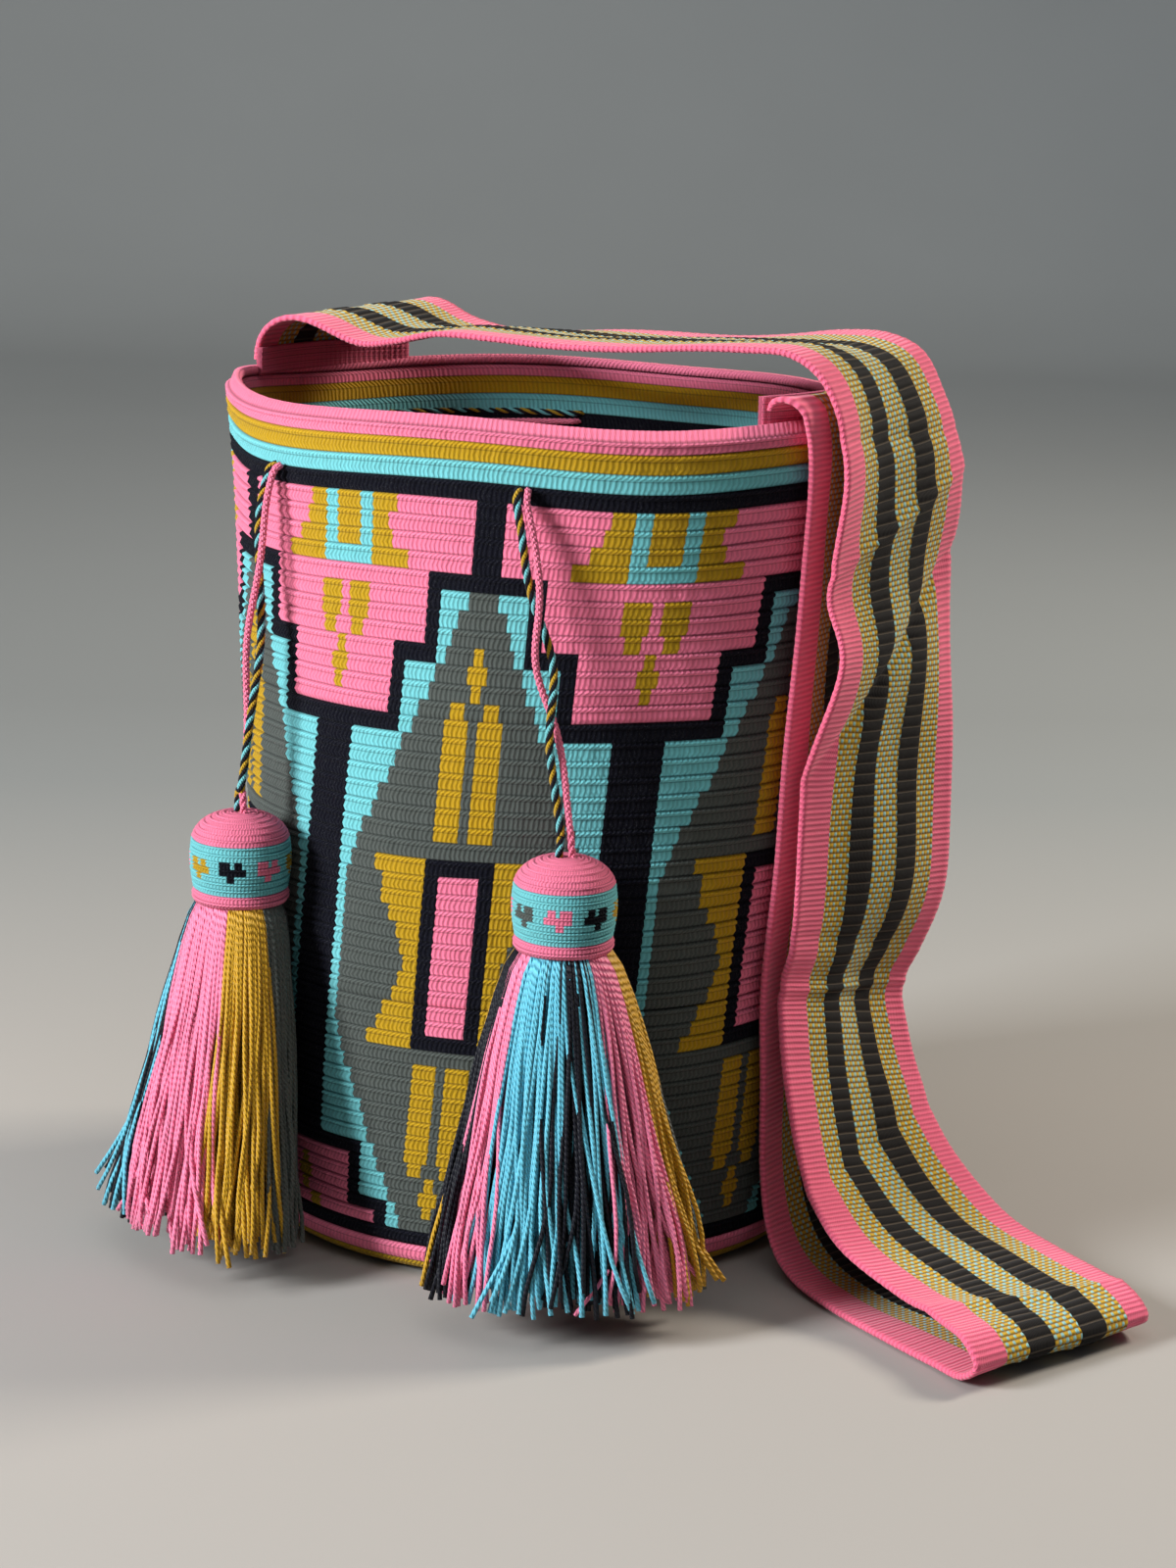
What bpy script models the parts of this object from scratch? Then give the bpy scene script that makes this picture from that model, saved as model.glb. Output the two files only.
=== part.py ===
"""Wayuu mochila: a crocheted bucket bag with a striped rim, a long woven
shoulder band, a drawstring round the mouth and two yarn tassels.

Frame: metres, +Z up.  The origin is the middle of the flat base, on the
ground.  The front, between the two tassels, looks along -Y; the shoulder
band joins the rim near +X and -X.  Angles round the bag run from -Y
towards +X.
"""
import math

import bmesh
import bpy
from mathutils import Matrix, Vector

# ---------------------------------------------------------------- dimensions
RIM_TOP = 0.300            # height of the mouth
WALL = 0.004               # thickness of the crocheted wall
EYELET_Z = 0.2775          # height of the eyelets, just under the navy stripe
EYELET_RADIUS = 0.0042     # half the eyelet's height
EYELET_REACH = 2.0         # an eyelet is this many times as long as it is high
EXIT_LEFT, EXIT_RIGHT = -25.0, 29.0      # eyelets the hanging ends come out of
EYELETS = (EXIT_LEFT, EXIT_RIGHT, -86.0, 86.0, -112.0, 112.0, -155.0, 155.0)

# outer radius of the wall against height, bottom to top
WALL_PROFILE = (
    (0.0925, 0.0000), (0.0985, 0.0012), (0.1020, 0.0050), (0.1033, 0.0120),
    (0.1045, 0.0400), (0.1050, 0.0900), (0.1052, 0.1400), (0.1058, 0.1900),
    (0.1070, 0.2300), (0.1088, 0.2600), (0.1106, 0.2800), (0.1118, 0.2900),
    (0.1123, 0.2960), (0.1118, 0.2990), (0.1103, 0.3000),
)
OVAL = 0.0060              # how far the mouth is drawn out towards the band

BAND_WIDTH = 0.076
BAND_THICK = 0.0016
JOIN_THICK = 0.0030
JOIN_TOP = 0.3040
JOIN_LEFT = (-79.0, -117.0)
JOIN_RIGHT = (72.0, 113.0)

CORD_RADIUS = 0.00125
CORD_OFFSET = 0.0016       # half the distance between the two cords

TASSEL_R = 0.1245          # distance of a tassel's axis from the bag's axis
TASSEL_LEFT, TASSEL_RIGHT = -23.0, 37.0
CAP_TOP, CAP_BOTTOM, CAP_RADIUS = 0.1640, 0.1290, 0.0170
SKIRT_BOTTOM = 0.010
SKIRT_HALF_WIDTH, SKIRT_HALF_DEPTH, SKIRT_SHIFT = 0.0480, 0.0285, 0.0140
PIVOT_GAP = 0.0018         # free yarn between a cord's end and its cap

# ---------------------------------------------------------------- the scene
for ob in list(bpy.data.objects):
    bpy.data.objects.remove(ob, do_unlink=True)

parts = bpy.data.collections.new("wayuu_mochila_bag")
cutters = bpy.data.collections.new("cutters")
bpy.context.scene.collection.children.link(parts)
bpy.context.scene.collection.children.link(cutters)


def material(name, rgb, rough):
    m = bpy.data.materials.new(name)
    m.use_nodes = True
    b = m.node_tree.nodes["Principled BSDF"]
    b.inputs["Base Color"].default_value = (*rgb, 1.0)
    b.inputs["Roughness"].default_value = rough
    b.inputs["Metallic"].default_value = 0.0
    return m


def add(name, mesh, mat, where=parts):
    ob = bpy.data.objects.new(name, mesh)
    where.objects.link(ob)
    if mat is not None:
        mesh.materials.clear()
        mesh.materials.append(mat)
    return ob


def hide(ob):
    ob.hide_render = True
    ob.display_type = "WIRE"


def polar(deg, r, z):
    a = math.radians(deg)
    return Vector((r * math.sin(a), -r * math.cos(a), z))


def smoothstep(a, b, x):
    t = min(1.0, max(0.0, (x - a) / (b - a)))
    return t * t * (3 - 2 * t)


def oval(deg, z):
    """Extra radius of the wall: the mouth is an oval, the base is round."""
    return -OVAL * math.cos(math.radians(2 * deg)) * smoothstep(0.14, 0.285, z)


def wall_radius(deg, z):
    p = WALL_PROFILE
    for (r0, z0), (r1, z1) in zip(p, p[1:]):
        if z <= z1:
            t = (z - z0) / (z1 - z0)
            return r0 + (r1 - r0) * t + oval(deg, z)
    return p[-1][0] + oval(deg, z)


def spline(points, samples):
    """Catmull-Rom curve through points, resampled evenly by length."""
    pts = [Vector(p) for p in points]
    pts = [2 * pts[0] - pts[1]] + pts + [2 * pts[-1] - pts[-2]]
    dense = []
    for i in range(1, len(pts) - 2):
        p0, p1, p2, p3 = pts[i - 1:i + 3]
        for k in range(16):
            t = k / 16
            dense.append(0.5 * ((2 * p1) + (p2 - p0) * t
                                + (2 * p0 - 5 * p1 + 4 * p2 - p3) * t * t
                                + (3 * p1 - p0 - 3 * p2 + p3) * t ** 3))
    dense.append(pts[-2])
    run = [0.0]
    for a, b in zip(dense, dense[1:]):
        run.append(run[-1] + (b - a).length)
    out, j = [], 0
    for k in range(samples):
        want = run[-1] * k / (samples - 1)
        while j < len(run) - 2 and run[j + 1] < want:
            j += 1
        span = run[j + 1] - run[j] or 1.0
        out.append(dense[j].lerp(dense[j + 1], (want - run[j]) / span))
    return out


# ---------------------------------------------------------------- the bag
def bag_body():
    """Base, wall and rim: one crocheted piece, turned and then drawn oval."""
    n = len(WALL_PROFILE)
    outline = [(0.0, 0.0)] + list(WALL_PROFILE)
    # the inner side follows the outer one a wall's thickness in
    for r, z in reversed(WALL_PROFILE[3:n - 2]):
        outline.append((r - WALL, z))
    outline += [(0.0950, 0.0058), (0.0900, WALL), (0.0, WALL)]
    outline = outline[::-1]          # runs down the outer side at +X
    me = bpy.data.meshes.new("bag_profile")
    me.from_pydata([(r, 0.0, z) for r, z in outline],
                   [(i, i + 1) for i in range(len(outline) - 1)], [])
    turned = add("bag_profile", me, None, cutters)
    sc = turned.modifiers.new("turn", "SCREW")
    sc.angle, sc.screw_offset, sc.axis = math.tau, 0.0, "Z"
    sc.steps = sc.render_steps = 72
    sc.use_merge_vertices, sc.merge_threshold = True, 0.00005
    dg = bpy.context.evaluated_depsgraph_get()
    body = bpy.data.meshes.new_from_object(turned.evaluated_get(dg))
    bpy.data.objects.remove(turned, do_unlink=True)
    body.name = "bag_body"
    for v in body.vertices:
        r = math.hypot(v.co.x, v.co.y)
        if r > 0.05:
            deg = math.degrees(math.atan2(v.co.x, -v.co.y))
            k = (r + oval(deg, v.co.z)) / r
            v.co.x *= k
            v.co.y *= k
    ob = add("bag_body", body, material("cotton_pink", (0.90, 0.30, 0.40), 0.85))
    # eyelets: one cutter of eight radial pins
    bm = bmesh.new()
    for deg in EYELETS:
        r = wall_radius(deg, EYELET_Z) - WALL / 2
        m = (Matrix.Translation(polar(deg, r, EYELET_Z))
             @ Matrix.Rotation(math.radians(deg), 4, "Z")
             @ Matrix.Diagonal((EYELET_REACH, 1.0, 1.0, 1.0))
             @ Matrix.Rotation(math.radians(90), 4, "X"))
        bmesh.ops.create_cone(bm, cap_ends=True, segments=16, radius1=EYELET_RADIUS,
                              radius2=EYELET_RADIUS, depth=0.02, matrix=m)
    me = bpy.data.meshes.new("eyelet_pins")
    bm.to_mesh(me)
    bm.free()
    pins = add("eyelet_pins", me, None, cutters)
    hide(pins)
    cut = ob.modifiers.new("eyelets", "BOOLEAN")
    cut.operation, cut.solver, cut.object = "DIFFERENCE", "EXACT", pins
    me = ob.data
    me.shade_smooth()
    return ob


# ---------------------------------------------------------------- the band
def join_radius(deg):
    return wall_radius(deg, RIM_TOP) + 0.0003


def join_tab(name, span, mat):
    """Crocheted strip standing on the rim, along which the band is sewn."""
    bm = bmesh.new()
    cols = []
    n = 14
    for i in range(n + 1):
        deg = span[0] + (span[1] - span[0]) * i / n
        r = join_radius(deg)
        cols.append([bm.verts.new(polar(deg, r, z))
                     for z in (RIM_TOP + 0.0004, (RIM_TOP + JOIN_TOP) / 2, JOIN_TOP)])
    for a, b in zip(cols, cols[1:]):
        for k in range(2):
            bm.faces.new((a[k], b[k], b[k + 1], a[k + 1]))
    bmesh.ops.recalc_face_normals(bm, faces=bm.faces)
    me = bpy.data.meshes.new(name)
    bm.to_mesh(me)
    bm.free()
    ob = add(name, me, mat)
    so = ob.modifiers.new("thickness", "SOLIDIFY")
    so.thickness, so.offset = JOIN_THICK, 0.0
    me.shade_smooth()
    return ob


# The band's two edges, from the left join over the mouth, down outside the
# bag, along the ground to its fold, and back up to the right join.  Each row
# is the near edge then the far edge.
BAND_ROUTE = (
    ((-0.1135, -0.0215, 0.3120), (-0.1060, 0.0530, 0.3120)),
    ((-0.1115, -0.0215, 0.3165), (-0.1050, 0.0530, 0.3165)),
    ((-0.1065, -0.0215, 0.3205), (-0.1015, 0.0535, 0.3205)),
    ((-0.0980, -0.0215, 0.3212), (-0.0950, 0.0540, 0.3230)),
    ((-0.0850, -0.0220, 0.3172), (-0.0830, 0.0540, 0.3215)),
    ((-0.0680, -0.0220, 0.3125), (-0.0690, 0.0540, 0.3160)),
    ((-0.0530, -0.0220, 0.3145), (-0.0500, 0.0540, 0.3135)),
    ((-0.0340, -0.0220, 0.3185), (-0.0300, 0.0540, 0.3145)),
    ((-0.0100, -0.0220, 0.3180), (-0.0100, 0.0540, 0.3155)),
    ((0.0150, -0.0220, 0.3170), (0.0150, 0.0540, 0.3160)),
    ((0.0450, -0.0220, 0.3178), (0.0450, 0.0540, 0.3170)),
    ((0.0700, -0.0220, 0.3192), (0.0700, 0.0540, 0.3185)),
    ((0.0920, -0.0220, 0.3200), (0.0900, 0.0540, 0.3205)),
    ((0.1090, -0.0220, 0.3198), (0.1070, 0.0540, 0.3208)),
    ((0.1215, -0.0220, 0.3128), (0.1200, 0.0540, 0.3160)),
    ((0.1292, -0.0220, 0.2985), (0.1280, 0.0540, 0.3035)),
    ((0.1345, -0.0220, 0.2800), (0.1325, 0.0540, 0.2870)),
    ((0.1380, -0.0220, 0.2600), (0.1350, 0.0540, 0.2660)),
    ((0.1335, -0.0220, 0.2400), (0.1360, 0.0540, 0.2400)),
    ((0.1305, -0.0220, 0.2180), (0.1370, 0.0540, 0.2130)),
    ((0.1300, -0.0220, 0.1800), (0.1385, 0.0540, 0.1740)),
    ((0.1290, -0.0220, 0.1400), (0.1390, 0.0535, 0.1330)),
    ((0.1265, -0.0220, 0.1180), (0.1320, 0.0525, 0.1060)),
    ((0.1235, -0.0220, 0.1040), (0.1250, 0.0510, 0.0900)),
    ((0.1230, -0.0240, 0.0900), (0.1260, 0.0505, 0.0750)),
    ((0.1250, -0.0275, 0.0700), (0.1330, 0.0480, 0.0560)),
    ((0.1355, -0.0340, 0.0430), (0.1500, 0.0400, 0.0350)),
    ((0.1540, -0.0440, 0.0240), (0.1780, 0.0290, 0.0200)),
    ((0.1800, -0.0540, 0.0160), (0.2060, 0.0180, 0.0150)),
    ((0.2030, -0.0660, 0.0150), (0.2290, 0.0060, 0.0140)),
    ((0.2160, -0.0760, 0.0155), (0.2420, 0.0000, 0.0130)),
    ((0.2230, -0.0800, 0.0090), (0.2490, -0.0040, 0.0080)),
    ((0.2160, -0.0770, 0.0025), (0.2420, -0.0010, 0.0025)),
    ((0.2030, -0.0700, 0.0013), (0.2290, 0.0060, 0.0013)),
    ((0.1800, -0.0600, 0.0013), (0.2060, 0.0160, 0.0013)),
    ((0.1520, -0.0470, 0.0013), (0.1760, 0.0290, 0.0013)),
    ((0.1300, -0.0350, 0.0040), (0.1490, 0.0390, 0.0040)),
    ((0.1170, -0.0270, 0.0140), (0.1290, 0.0460, 0.0140)),
    ((0.1110, -0.0235, 0.0370), (0.1150, 0.0500, 0.0370)),
    ((0.1115, -0.0230, 0.0700), (0.1115, 0.0520, 0.0700)),
    ((0.1130, -0.0230, 0.1050), (0.1125, 0.0520, 0.1050)),
    ((0.1140, -0.0235, 0.1500), (0.1130, 0.0520, 0.1500)),
    ((0.1155, -0.0245, 0.2000), (0.1145, 0.0515, 0.2000)),
    ((0.1190, -0.0250, 0.2500), (0.1180, 0.0510, 0.2500)),
    ((0.1222, -0.0280, 0.2850), (0.1212, 0.0490, 0.2850)),
    ((0.1222, -0.0315, 0.2990), (0.1215, 0.0470, 0.2990)),
    ((0.1205, -0.0340, 0.3060), (0.1200, 0.0455, 0.3060)),
    ((0.1172, -0.0355, 0.3088), (0.1165, 0.0450, 0.3088)),
    ((0.1138, -0.0360, 0.3078), (0.1125, 0.0450, 0.3078)),
)
BAND_PER_SPAN, BAND_COLS = 3, 6


def band(mat):
    near = [r[0] for r in BAND_ROUTE]
    far = [r[1] for r in BAND_ROUTE]
    both = spline_pairs(near, far, BAND_PER_SPAN)
    last = len(both) - 1
    left_deg, right_deg = JOIN_LEFT, JOIN_RIGHT
    bm = bmesh.new()
    rows = []
    for i, (a, b) in enumerate(both):
        row = []
        for k in range(BAND_COLS + 1):
            t = k / BAND_COLS
            row.append(a.lerp(b, t))
        rows.append(row)

    def arc_end(row_ids, span, z0):
        """The sewn end follows its join's curve and fades into the flat band."""
        for j, i in enumerate(row_ids):
            w = 1.0 - smoothstep(0.0, 1.0, j / (len(row_ids) - 1))
            for k in range(BAND_COLS + 1):
                t = k / BAND_COLS
                deg = span[0] + (span[1] - span[0]) * t
                goal = polar(deg, join_radius(deg), z0 + j * 0.0013)
                rows[i][k] = rows[i][k].lerp(goal, w)

    # the sewn edge stands a hair above its join
    arc_end(list(range(0, 8)), left_deg, JOIN_TOP + 0.0005)
    arc_end(list(range(last, last - 6, -1)), right_deg, JOIN_TOP + 0.0005)
    grid = [[bm.verts.new(p) for p in row] for row in rows]
    for a, b in zip(grid, grid[1:]):
        for k in range(BAND_COLS):
            bm.faces.new((a[k], b[k], b[k + 1], a[k + 1]))
    bmesh.ops.recalc_face_normals(bm, faces=bm.faces)
    me = bpy.data.meshes.new("strap_band")
    bm.to_mesh(me)
    bm.free()
    ob = add("strap_band", me, mat)
    so = ob.modifiers.new("thickness", "SOLIDIFY")
    so.thickness, so.offset = BAND_THICK, 0.0
    me.shade_smooth()
    return ob


def spline_pairs(near, far, per):
    """Both edges as Catmull-Rom curves, with per samples a span."""
    six = [Vector((*n, *f)) for n, f in zip(near, far)]
    six = [2 * six[0] - six[1]] + six + [2 * six[-1] - six[-2]]
    dense = []
    for i in range(1, len(six) - 2):
        p0, p1, p2, p3 = six[i - 1:i + 3]
        for k in range(per):
            t = k / per
            dense.append(0.5 * ((2 * p1) + (p2 - p0) * t
                                + (2 * p0 - 5 * p1 + 4 * p2 - p3) * t * t
                                + (3 * p1 - p0 - 3 * p2 + p3) * t ** 3))
    dense.append(six[-2])
    return [(Vector(d[:3]), Vector(d[3:])) for d in dense]


# ---------------------------------------------------------------- the cords
def cord(name, points, mat, count):
    pts = spline(points, count)
    cu = bpy.data.curves.new(name, "CURVE")
    cu.dimensions = "3D"
    cu.bevel_depth = CORD_RADIUS
    cu.bevel_resolution = 2
    cu.use_fill_caps = True
    sp = cu.splines.new("POLY")
    sp.points.add(len(pts) - 1)
    for p, v in zip(sp.points, pts):
        p.co = (*v, 1.0)
    cu.materials.append(mat)
    ob = bpy.data.objects.new(name, cu)
    parts.objects.link(ob)
    return ob


def threading(deg):
    """Distance of the drawstring from the wall's middle: + outside, - inside."""
    d = deg % 360.0
    marks = (29.0, 86.0, 112.0, 155.0, 205.0, 248.0, 274.0, 335.0)
    side = -1.0                       # starts inside, after the first eyelet
    value = -1.0
    for m in marks[1:-1]:
        half = 3.0
        if d > m - half:
            t = smoothstep(m - half, m + half, d)
            value = side + (-2.0 * side) * t
        if d > m + half:
            side = -side
            value = side
    # both ends turn back into their own eyelets
    for m in (marks[0], marks[-1]):
        t = 1.0 - smoothstep(0.0, 3.0, abs(d - m))
        value = value * (1.0 - t)
    return value


def drawstring(name, dz, mat):
    pts = []
    a, b = EXIT_RIGHT + 0.3, 360.0 + EXIT_LEFT - 0.3
    n = 120
    for i in range(n + 1):
        deg = a + (b - a) * i / n
        s = threading(deg)
        r = wall_radius(deg, EYELET_Z) - WALL / 2 + s * (WALL / 2 + CORD_RADIUS + 0.0009)
        pts.append(polar(deg, r, EYELET_Z + dz))
    return cord(name, pts, mat, 110)


def tassel_frame(deg):
    a = math.radians(deg)
    return Vector((math.sin(a), -math.cos(a), 0)), Vector((math.cos(a), math.sin(a), 0))


def hanging_pair(side, exit_deg, tassel_deg, mats):
    """The two ends that leave one eyelet and run down to the tassel's cap."""
    out, along = tassel_frame(exit_deg)
    t_out, t_along = tassel_frame(tassel_deg)
    r = wall_radius(exit_deg, EYELET_Z)
    top = polar(exit_deg, r, EYELET_Z)
    foot = polar(tassel_deg, TASSEL_R, CAP_TOP + PIVOT_GAP)
    made = []
    for name, s, mat in (("multicolour", -1.0, mats[0]), ("pink", 1.0, mats[1])):
        side_top = along * (CORD_OFFSET * s)
        side_foot = t_along * (CORD_OFFSET * s)
        bow = t_along * (0.0030 * s)
        pts = [
            top + out * 0.0010 + side_top,
            top + out * 0.0032 + Vector((0, 0, -0.0008)) + side_top,
            top + out * 0.0050 + Vector((0, 0, -0.0045)) + side_top,
            top.lerp(foot, 0.14) + out * 0.0052 + side_top,
            top.lerp(foot, 0.35) + out * 0.0035 + side_top + bow,
            top.lerp(foot, 0.60) + out * 0.0018 + side_top + bow,
            top.lerp(foot, 0.85) + side_foot + bow * 0.3,
            foot + side_foot,
        ]
        made.append(cord(f"{side}_cord_{name}", pts, mat, 20))
    return made


# ---------------------------------------------------------------- the tassels
def tassel_cap(name, deg, mat):
    """Crocheted cap: a domed shell, open below, drawn over the bound yarn."""
    h, R = CAP_TOP - CAP_BOTTOM, CAP_RADIUS
    outline = [(0.0, h)]
    for i in range(1, 8):
        a = math.radians(90 - 90 * i / 7)
        outline.append(((R - 0.0005) * math.cos(a), h - 0.0135 + 0.0135 * math.sin(a)))
    outline += [(R, h * 0.50), (R, h * 0.30), (R - 0.0010, h * 0.14),
                (R - 0.0016, h * 0.05), (R - 0.0022, 0.0), (R - 0.0042, 0.0),
                (R - 0.0040, h * 0.55), (R - 0.0060, h * 0.74),
                (R - 0.0105, h * 0.86), (0.0, h * 0.88)]
    me = bpy.data.meshes.new(name)
    me.from_pydata([(r, 0.0, z) for r, z in outline],
                   [(i, i + 1) for i in range(len(outline) - 1)], [])
    ob = add(name, me, mat)
    sc = ob.modifiers.new("turn", "SCREW")
    sc.angle, sc.screw_offset, sc.axis = math.tau, 0.0, "Z"
    sc.steps = sc.render_steps = 32
    sc.use_merge_vertices, sc.merge_threshold = True, 0.00005
    sc.use_smooth_shade = True
    return ob


def tassel_skirt(name, deg, lean, mat):
    """Bundle of cut yarn: a neck inside the cap, then a skirt that spreads
    and leans away from the wall it hangs against."""
    z0 = -(CAP_TOP + PIVOT_GAP)
    # height above ground, half width, half depth, outward shift
    rows = (
        (0.1560, 0.0085, 0.0085, 0.0),
        (0.1520, 0.0112, 0.0112, 0.0),
        (0.1285, 0.0120, 0.0120, 0.0),
        (0.1268, 0.0168, 0.0148, 0.0006),
        (0.1180, 0.0195, 0.0160, 0.0016),
        (0.0950, 0.0265, 0.0185, 0.0042),
        (0.0650, 0.0355, 0.0225, 0.0080),
        (0.0350, 0.0435, 0.0262, 0.0117),
        (SKIRT_BOTTOM + 0.002, SKIRT_HALF_WIDTH, SKIRT_HALF_DEPTH, SKIRT_SHIFT),
        (SKIRT_BOTTOM, SKIRT_HALF_WIDTH - 0.002, SKIRT_HALF_DEPTH - 0.002, SKIRT_SHIFT),
    )
    n = 28
    bm = bmesh.new()
    rings = []
    for z, a, b, shift in rows:
        side = lean * (0.1268 - min(z, 0.1268)) / 0.1168
        ring = []
        for i in range(n):
            t = math.tau * i / n
            # local x runs along the wall, local -y points away from the bag
            ring.append(bm.verts.new((side + a * math.cos(t), -shift + b * math.sin(t),
                                      z + z0)))
        rings.append(ring)
    for r0, r1 in zip(rings, rings[1:]):
        for i in range(n):
            j = (i + 1) % n
            bm.faces.new((r0[i], r1[i], r1[j], r0[j]))
    bm.faces.new(rings[0])
    bm.faces.new(list(reversed(rings[-1])))
    bmesh.ops.recalc_face_normals(bm, faces=bm.faces)
    me = bpy.data.meshes.new(name)
    bm.to_mesh(me)
    bm.free()
    ob = add(name, me, mat)
    me.shade_smooth()
    me.set_sharp_from_angle(angle=math.radians(50))
    return ob


def tassel(side, exit_deg, tassel_deg, lean, mats):
    """Cords hang from an empty on the eyelet; the tassel hangs from one on
    the cords' lower end, so each turns about its own axis."""
    r = wall_radius(exit_deg, EYELET_Z)
    swing = bpy.data.objects.new(f"{side}_eyelet_axis", None)
    swing.location = polar(exit_deg, r + 0.0010, EYELET_Z)
    swing.rotation_euler = (0, 0, math.radians(exit_deg))
    parts.objects.link(swing)
    tilt = bpy.data.objects.new(f"{side}_cap_axis", None)
    tilt.location = polar(tassel_deg, TASSEL_R, CAP_TOP + PIVOT_GAP)
    tilt.rotation_euler = (0, 0, math.radians(tassel_deg))
    parts.objects.link(tilt)
    bpy.context.view_layer.update()
    for ob in hanging_pair(side, exit_deg, tassel_deg, mats[:2]):
        ob.parent = swing
        ob.matrix_parent_inverse = swing.matrix_world.inverted()
    cap = tassel_cap(f"{side}_tassel_cap", tassel_deg, mats[2])
    cap.parent = tilt
    cap.location = (0, 0, CAP_BOTTOM - CAP_TOP - PIVOT_GAP)
    skirt = tassel_skirt(f"{side}_tassel_skirt", tassel_deg, lean, mats[3])
    skirt.parent = tilt


# ---------------------------------------------------------------- assembly
pink_cord = material("cotton_pink_cord", (0.92, 0.33, 0.45), 0.8)
mixed_cord = material("cotton_mixed_cord", (0.25, 0.30, 0.28), 0.8)
bag_body()
join_tab("strap_join_left", JOIN_LEFT, material("crochet_pink_left", (0.86, 0.22, 0.33), 0.85))
join_tab("strap_join_right", JOIN_RIGHT, material("crochet_pink_right", (0.86, 0.22, 0.33), 0.85))
band(material("woven_band", (0.45, 0.36, 0.12), 0.8))
drawstring("drawstring_multicolour", CORD_OFFSET, mixed_cord)
drawstring("drawstring_pink", -CORD_OFFSET, pink_cord)
tassel("left", EXIT_LEFT, TASSEL_LEFT, -0.002,
       (mixed_cord, pink_cord,
        material("crochet_cap_left", (0.30, 0.60, 0.62), 0.85),
        material("yarn_skirt_left", (0.60, 0.35, 0.20), 0.8)))
tassel("right", EXIT_RIGHT, TASSEL_RIGHT, 0.003,
       (mixed_cord, pink_cord,
        material("crochet_cap_right", (0.30, 0.60, 0.62), 0.85),
        material("yarn_skirt_right", (0.20, 0.50, 0.58), 0.8)))
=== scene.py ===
import math

import bpy
import numpy as np
from mathutils import Euler, Matrix, Vector


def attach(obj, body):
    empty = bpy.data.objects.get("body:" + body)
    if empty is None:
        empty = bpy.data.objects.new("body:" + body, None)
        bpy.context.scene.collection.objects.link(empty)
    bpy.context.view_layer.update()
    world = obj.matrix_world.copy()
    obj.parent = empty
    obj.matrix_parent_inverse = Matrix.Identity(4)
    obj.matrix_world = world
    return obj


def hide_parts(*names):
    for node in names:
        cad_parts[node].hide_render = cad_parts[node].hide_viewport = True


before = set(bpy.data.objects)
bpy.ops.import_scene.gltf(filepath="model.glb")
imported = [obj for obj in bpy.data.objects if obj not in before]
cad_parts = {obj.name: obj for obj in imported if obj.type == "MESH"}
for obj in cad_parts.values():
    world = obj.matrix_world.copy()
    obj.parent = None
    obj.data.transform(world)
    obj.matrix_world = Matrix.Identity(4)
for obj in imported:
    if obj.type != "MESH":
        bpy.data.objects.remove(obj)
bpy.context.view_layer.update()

RNG = np.random.default_rng(11)
D2R = math.pi / 180.0

# ------------------------------------------------------------------ camera
scene = bpy.context.scene
CAM_AZ, CAM_DIST, CAM_H, CAM_PITCH, CAM_ROLL = 33.0, 1.195, 0.4272, 12.84, 1.18
cam = bpy.data.cameras.new("camera")
cam.sensor_width = 36.0
cam.lens = 77.0
cam.shift_x = 0.0303
cam.clip_start = 0.02
cam.dof.use_dof = False
camera = bpy.data.objects.new("camera", cam)
a = CAM_AZ * D2R
camera.location = (math.sin(a) * CAM_DIST, -math.cos(a) * CAM_DIST, CAM_H)
camera.rotation_euler = (Matrix.Rotation(a, 4, "Z") @ Matrix.Rotation((90 - CAM_PITCH) * D2R, 4, "X")
                         @ Matrix.Rotation(CAM_ROLL * D2R, 4, "Z")).to_euler()
scene.collection.objects.link(camera)
scene.camera = camera
scene.view_settings.view_transform = "Standard"
scene.view_settings.look = "None"
scene.view_settings.exposure = 0.0
scene.view_settings.gamma = 1.0


# ------------------------------------------------------------------ colours
def lin(r, g, b):
    def f(c):
        c /= 255.0
        return c / 12.92 if c <= 0.04045 else ((c + 0.055) / 1.055) ** 2.4
    return (f(r), f(g), f(b))


PINK, MUSTARD, TURQ, NAVY, GREY = range(5)
YARN = {
    PINK: ("pink", lin(248, 124, 156)),
    MUSTARD: ("mustard", lin(186, 146, 10)),
    TURQ: ("turquoise", lin(112, 196, 202)),
    NAVY: ("navy", lin(9, 10, 22)),
    GREY: ("grey", lin(76, 82, 78)),
}


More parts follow.
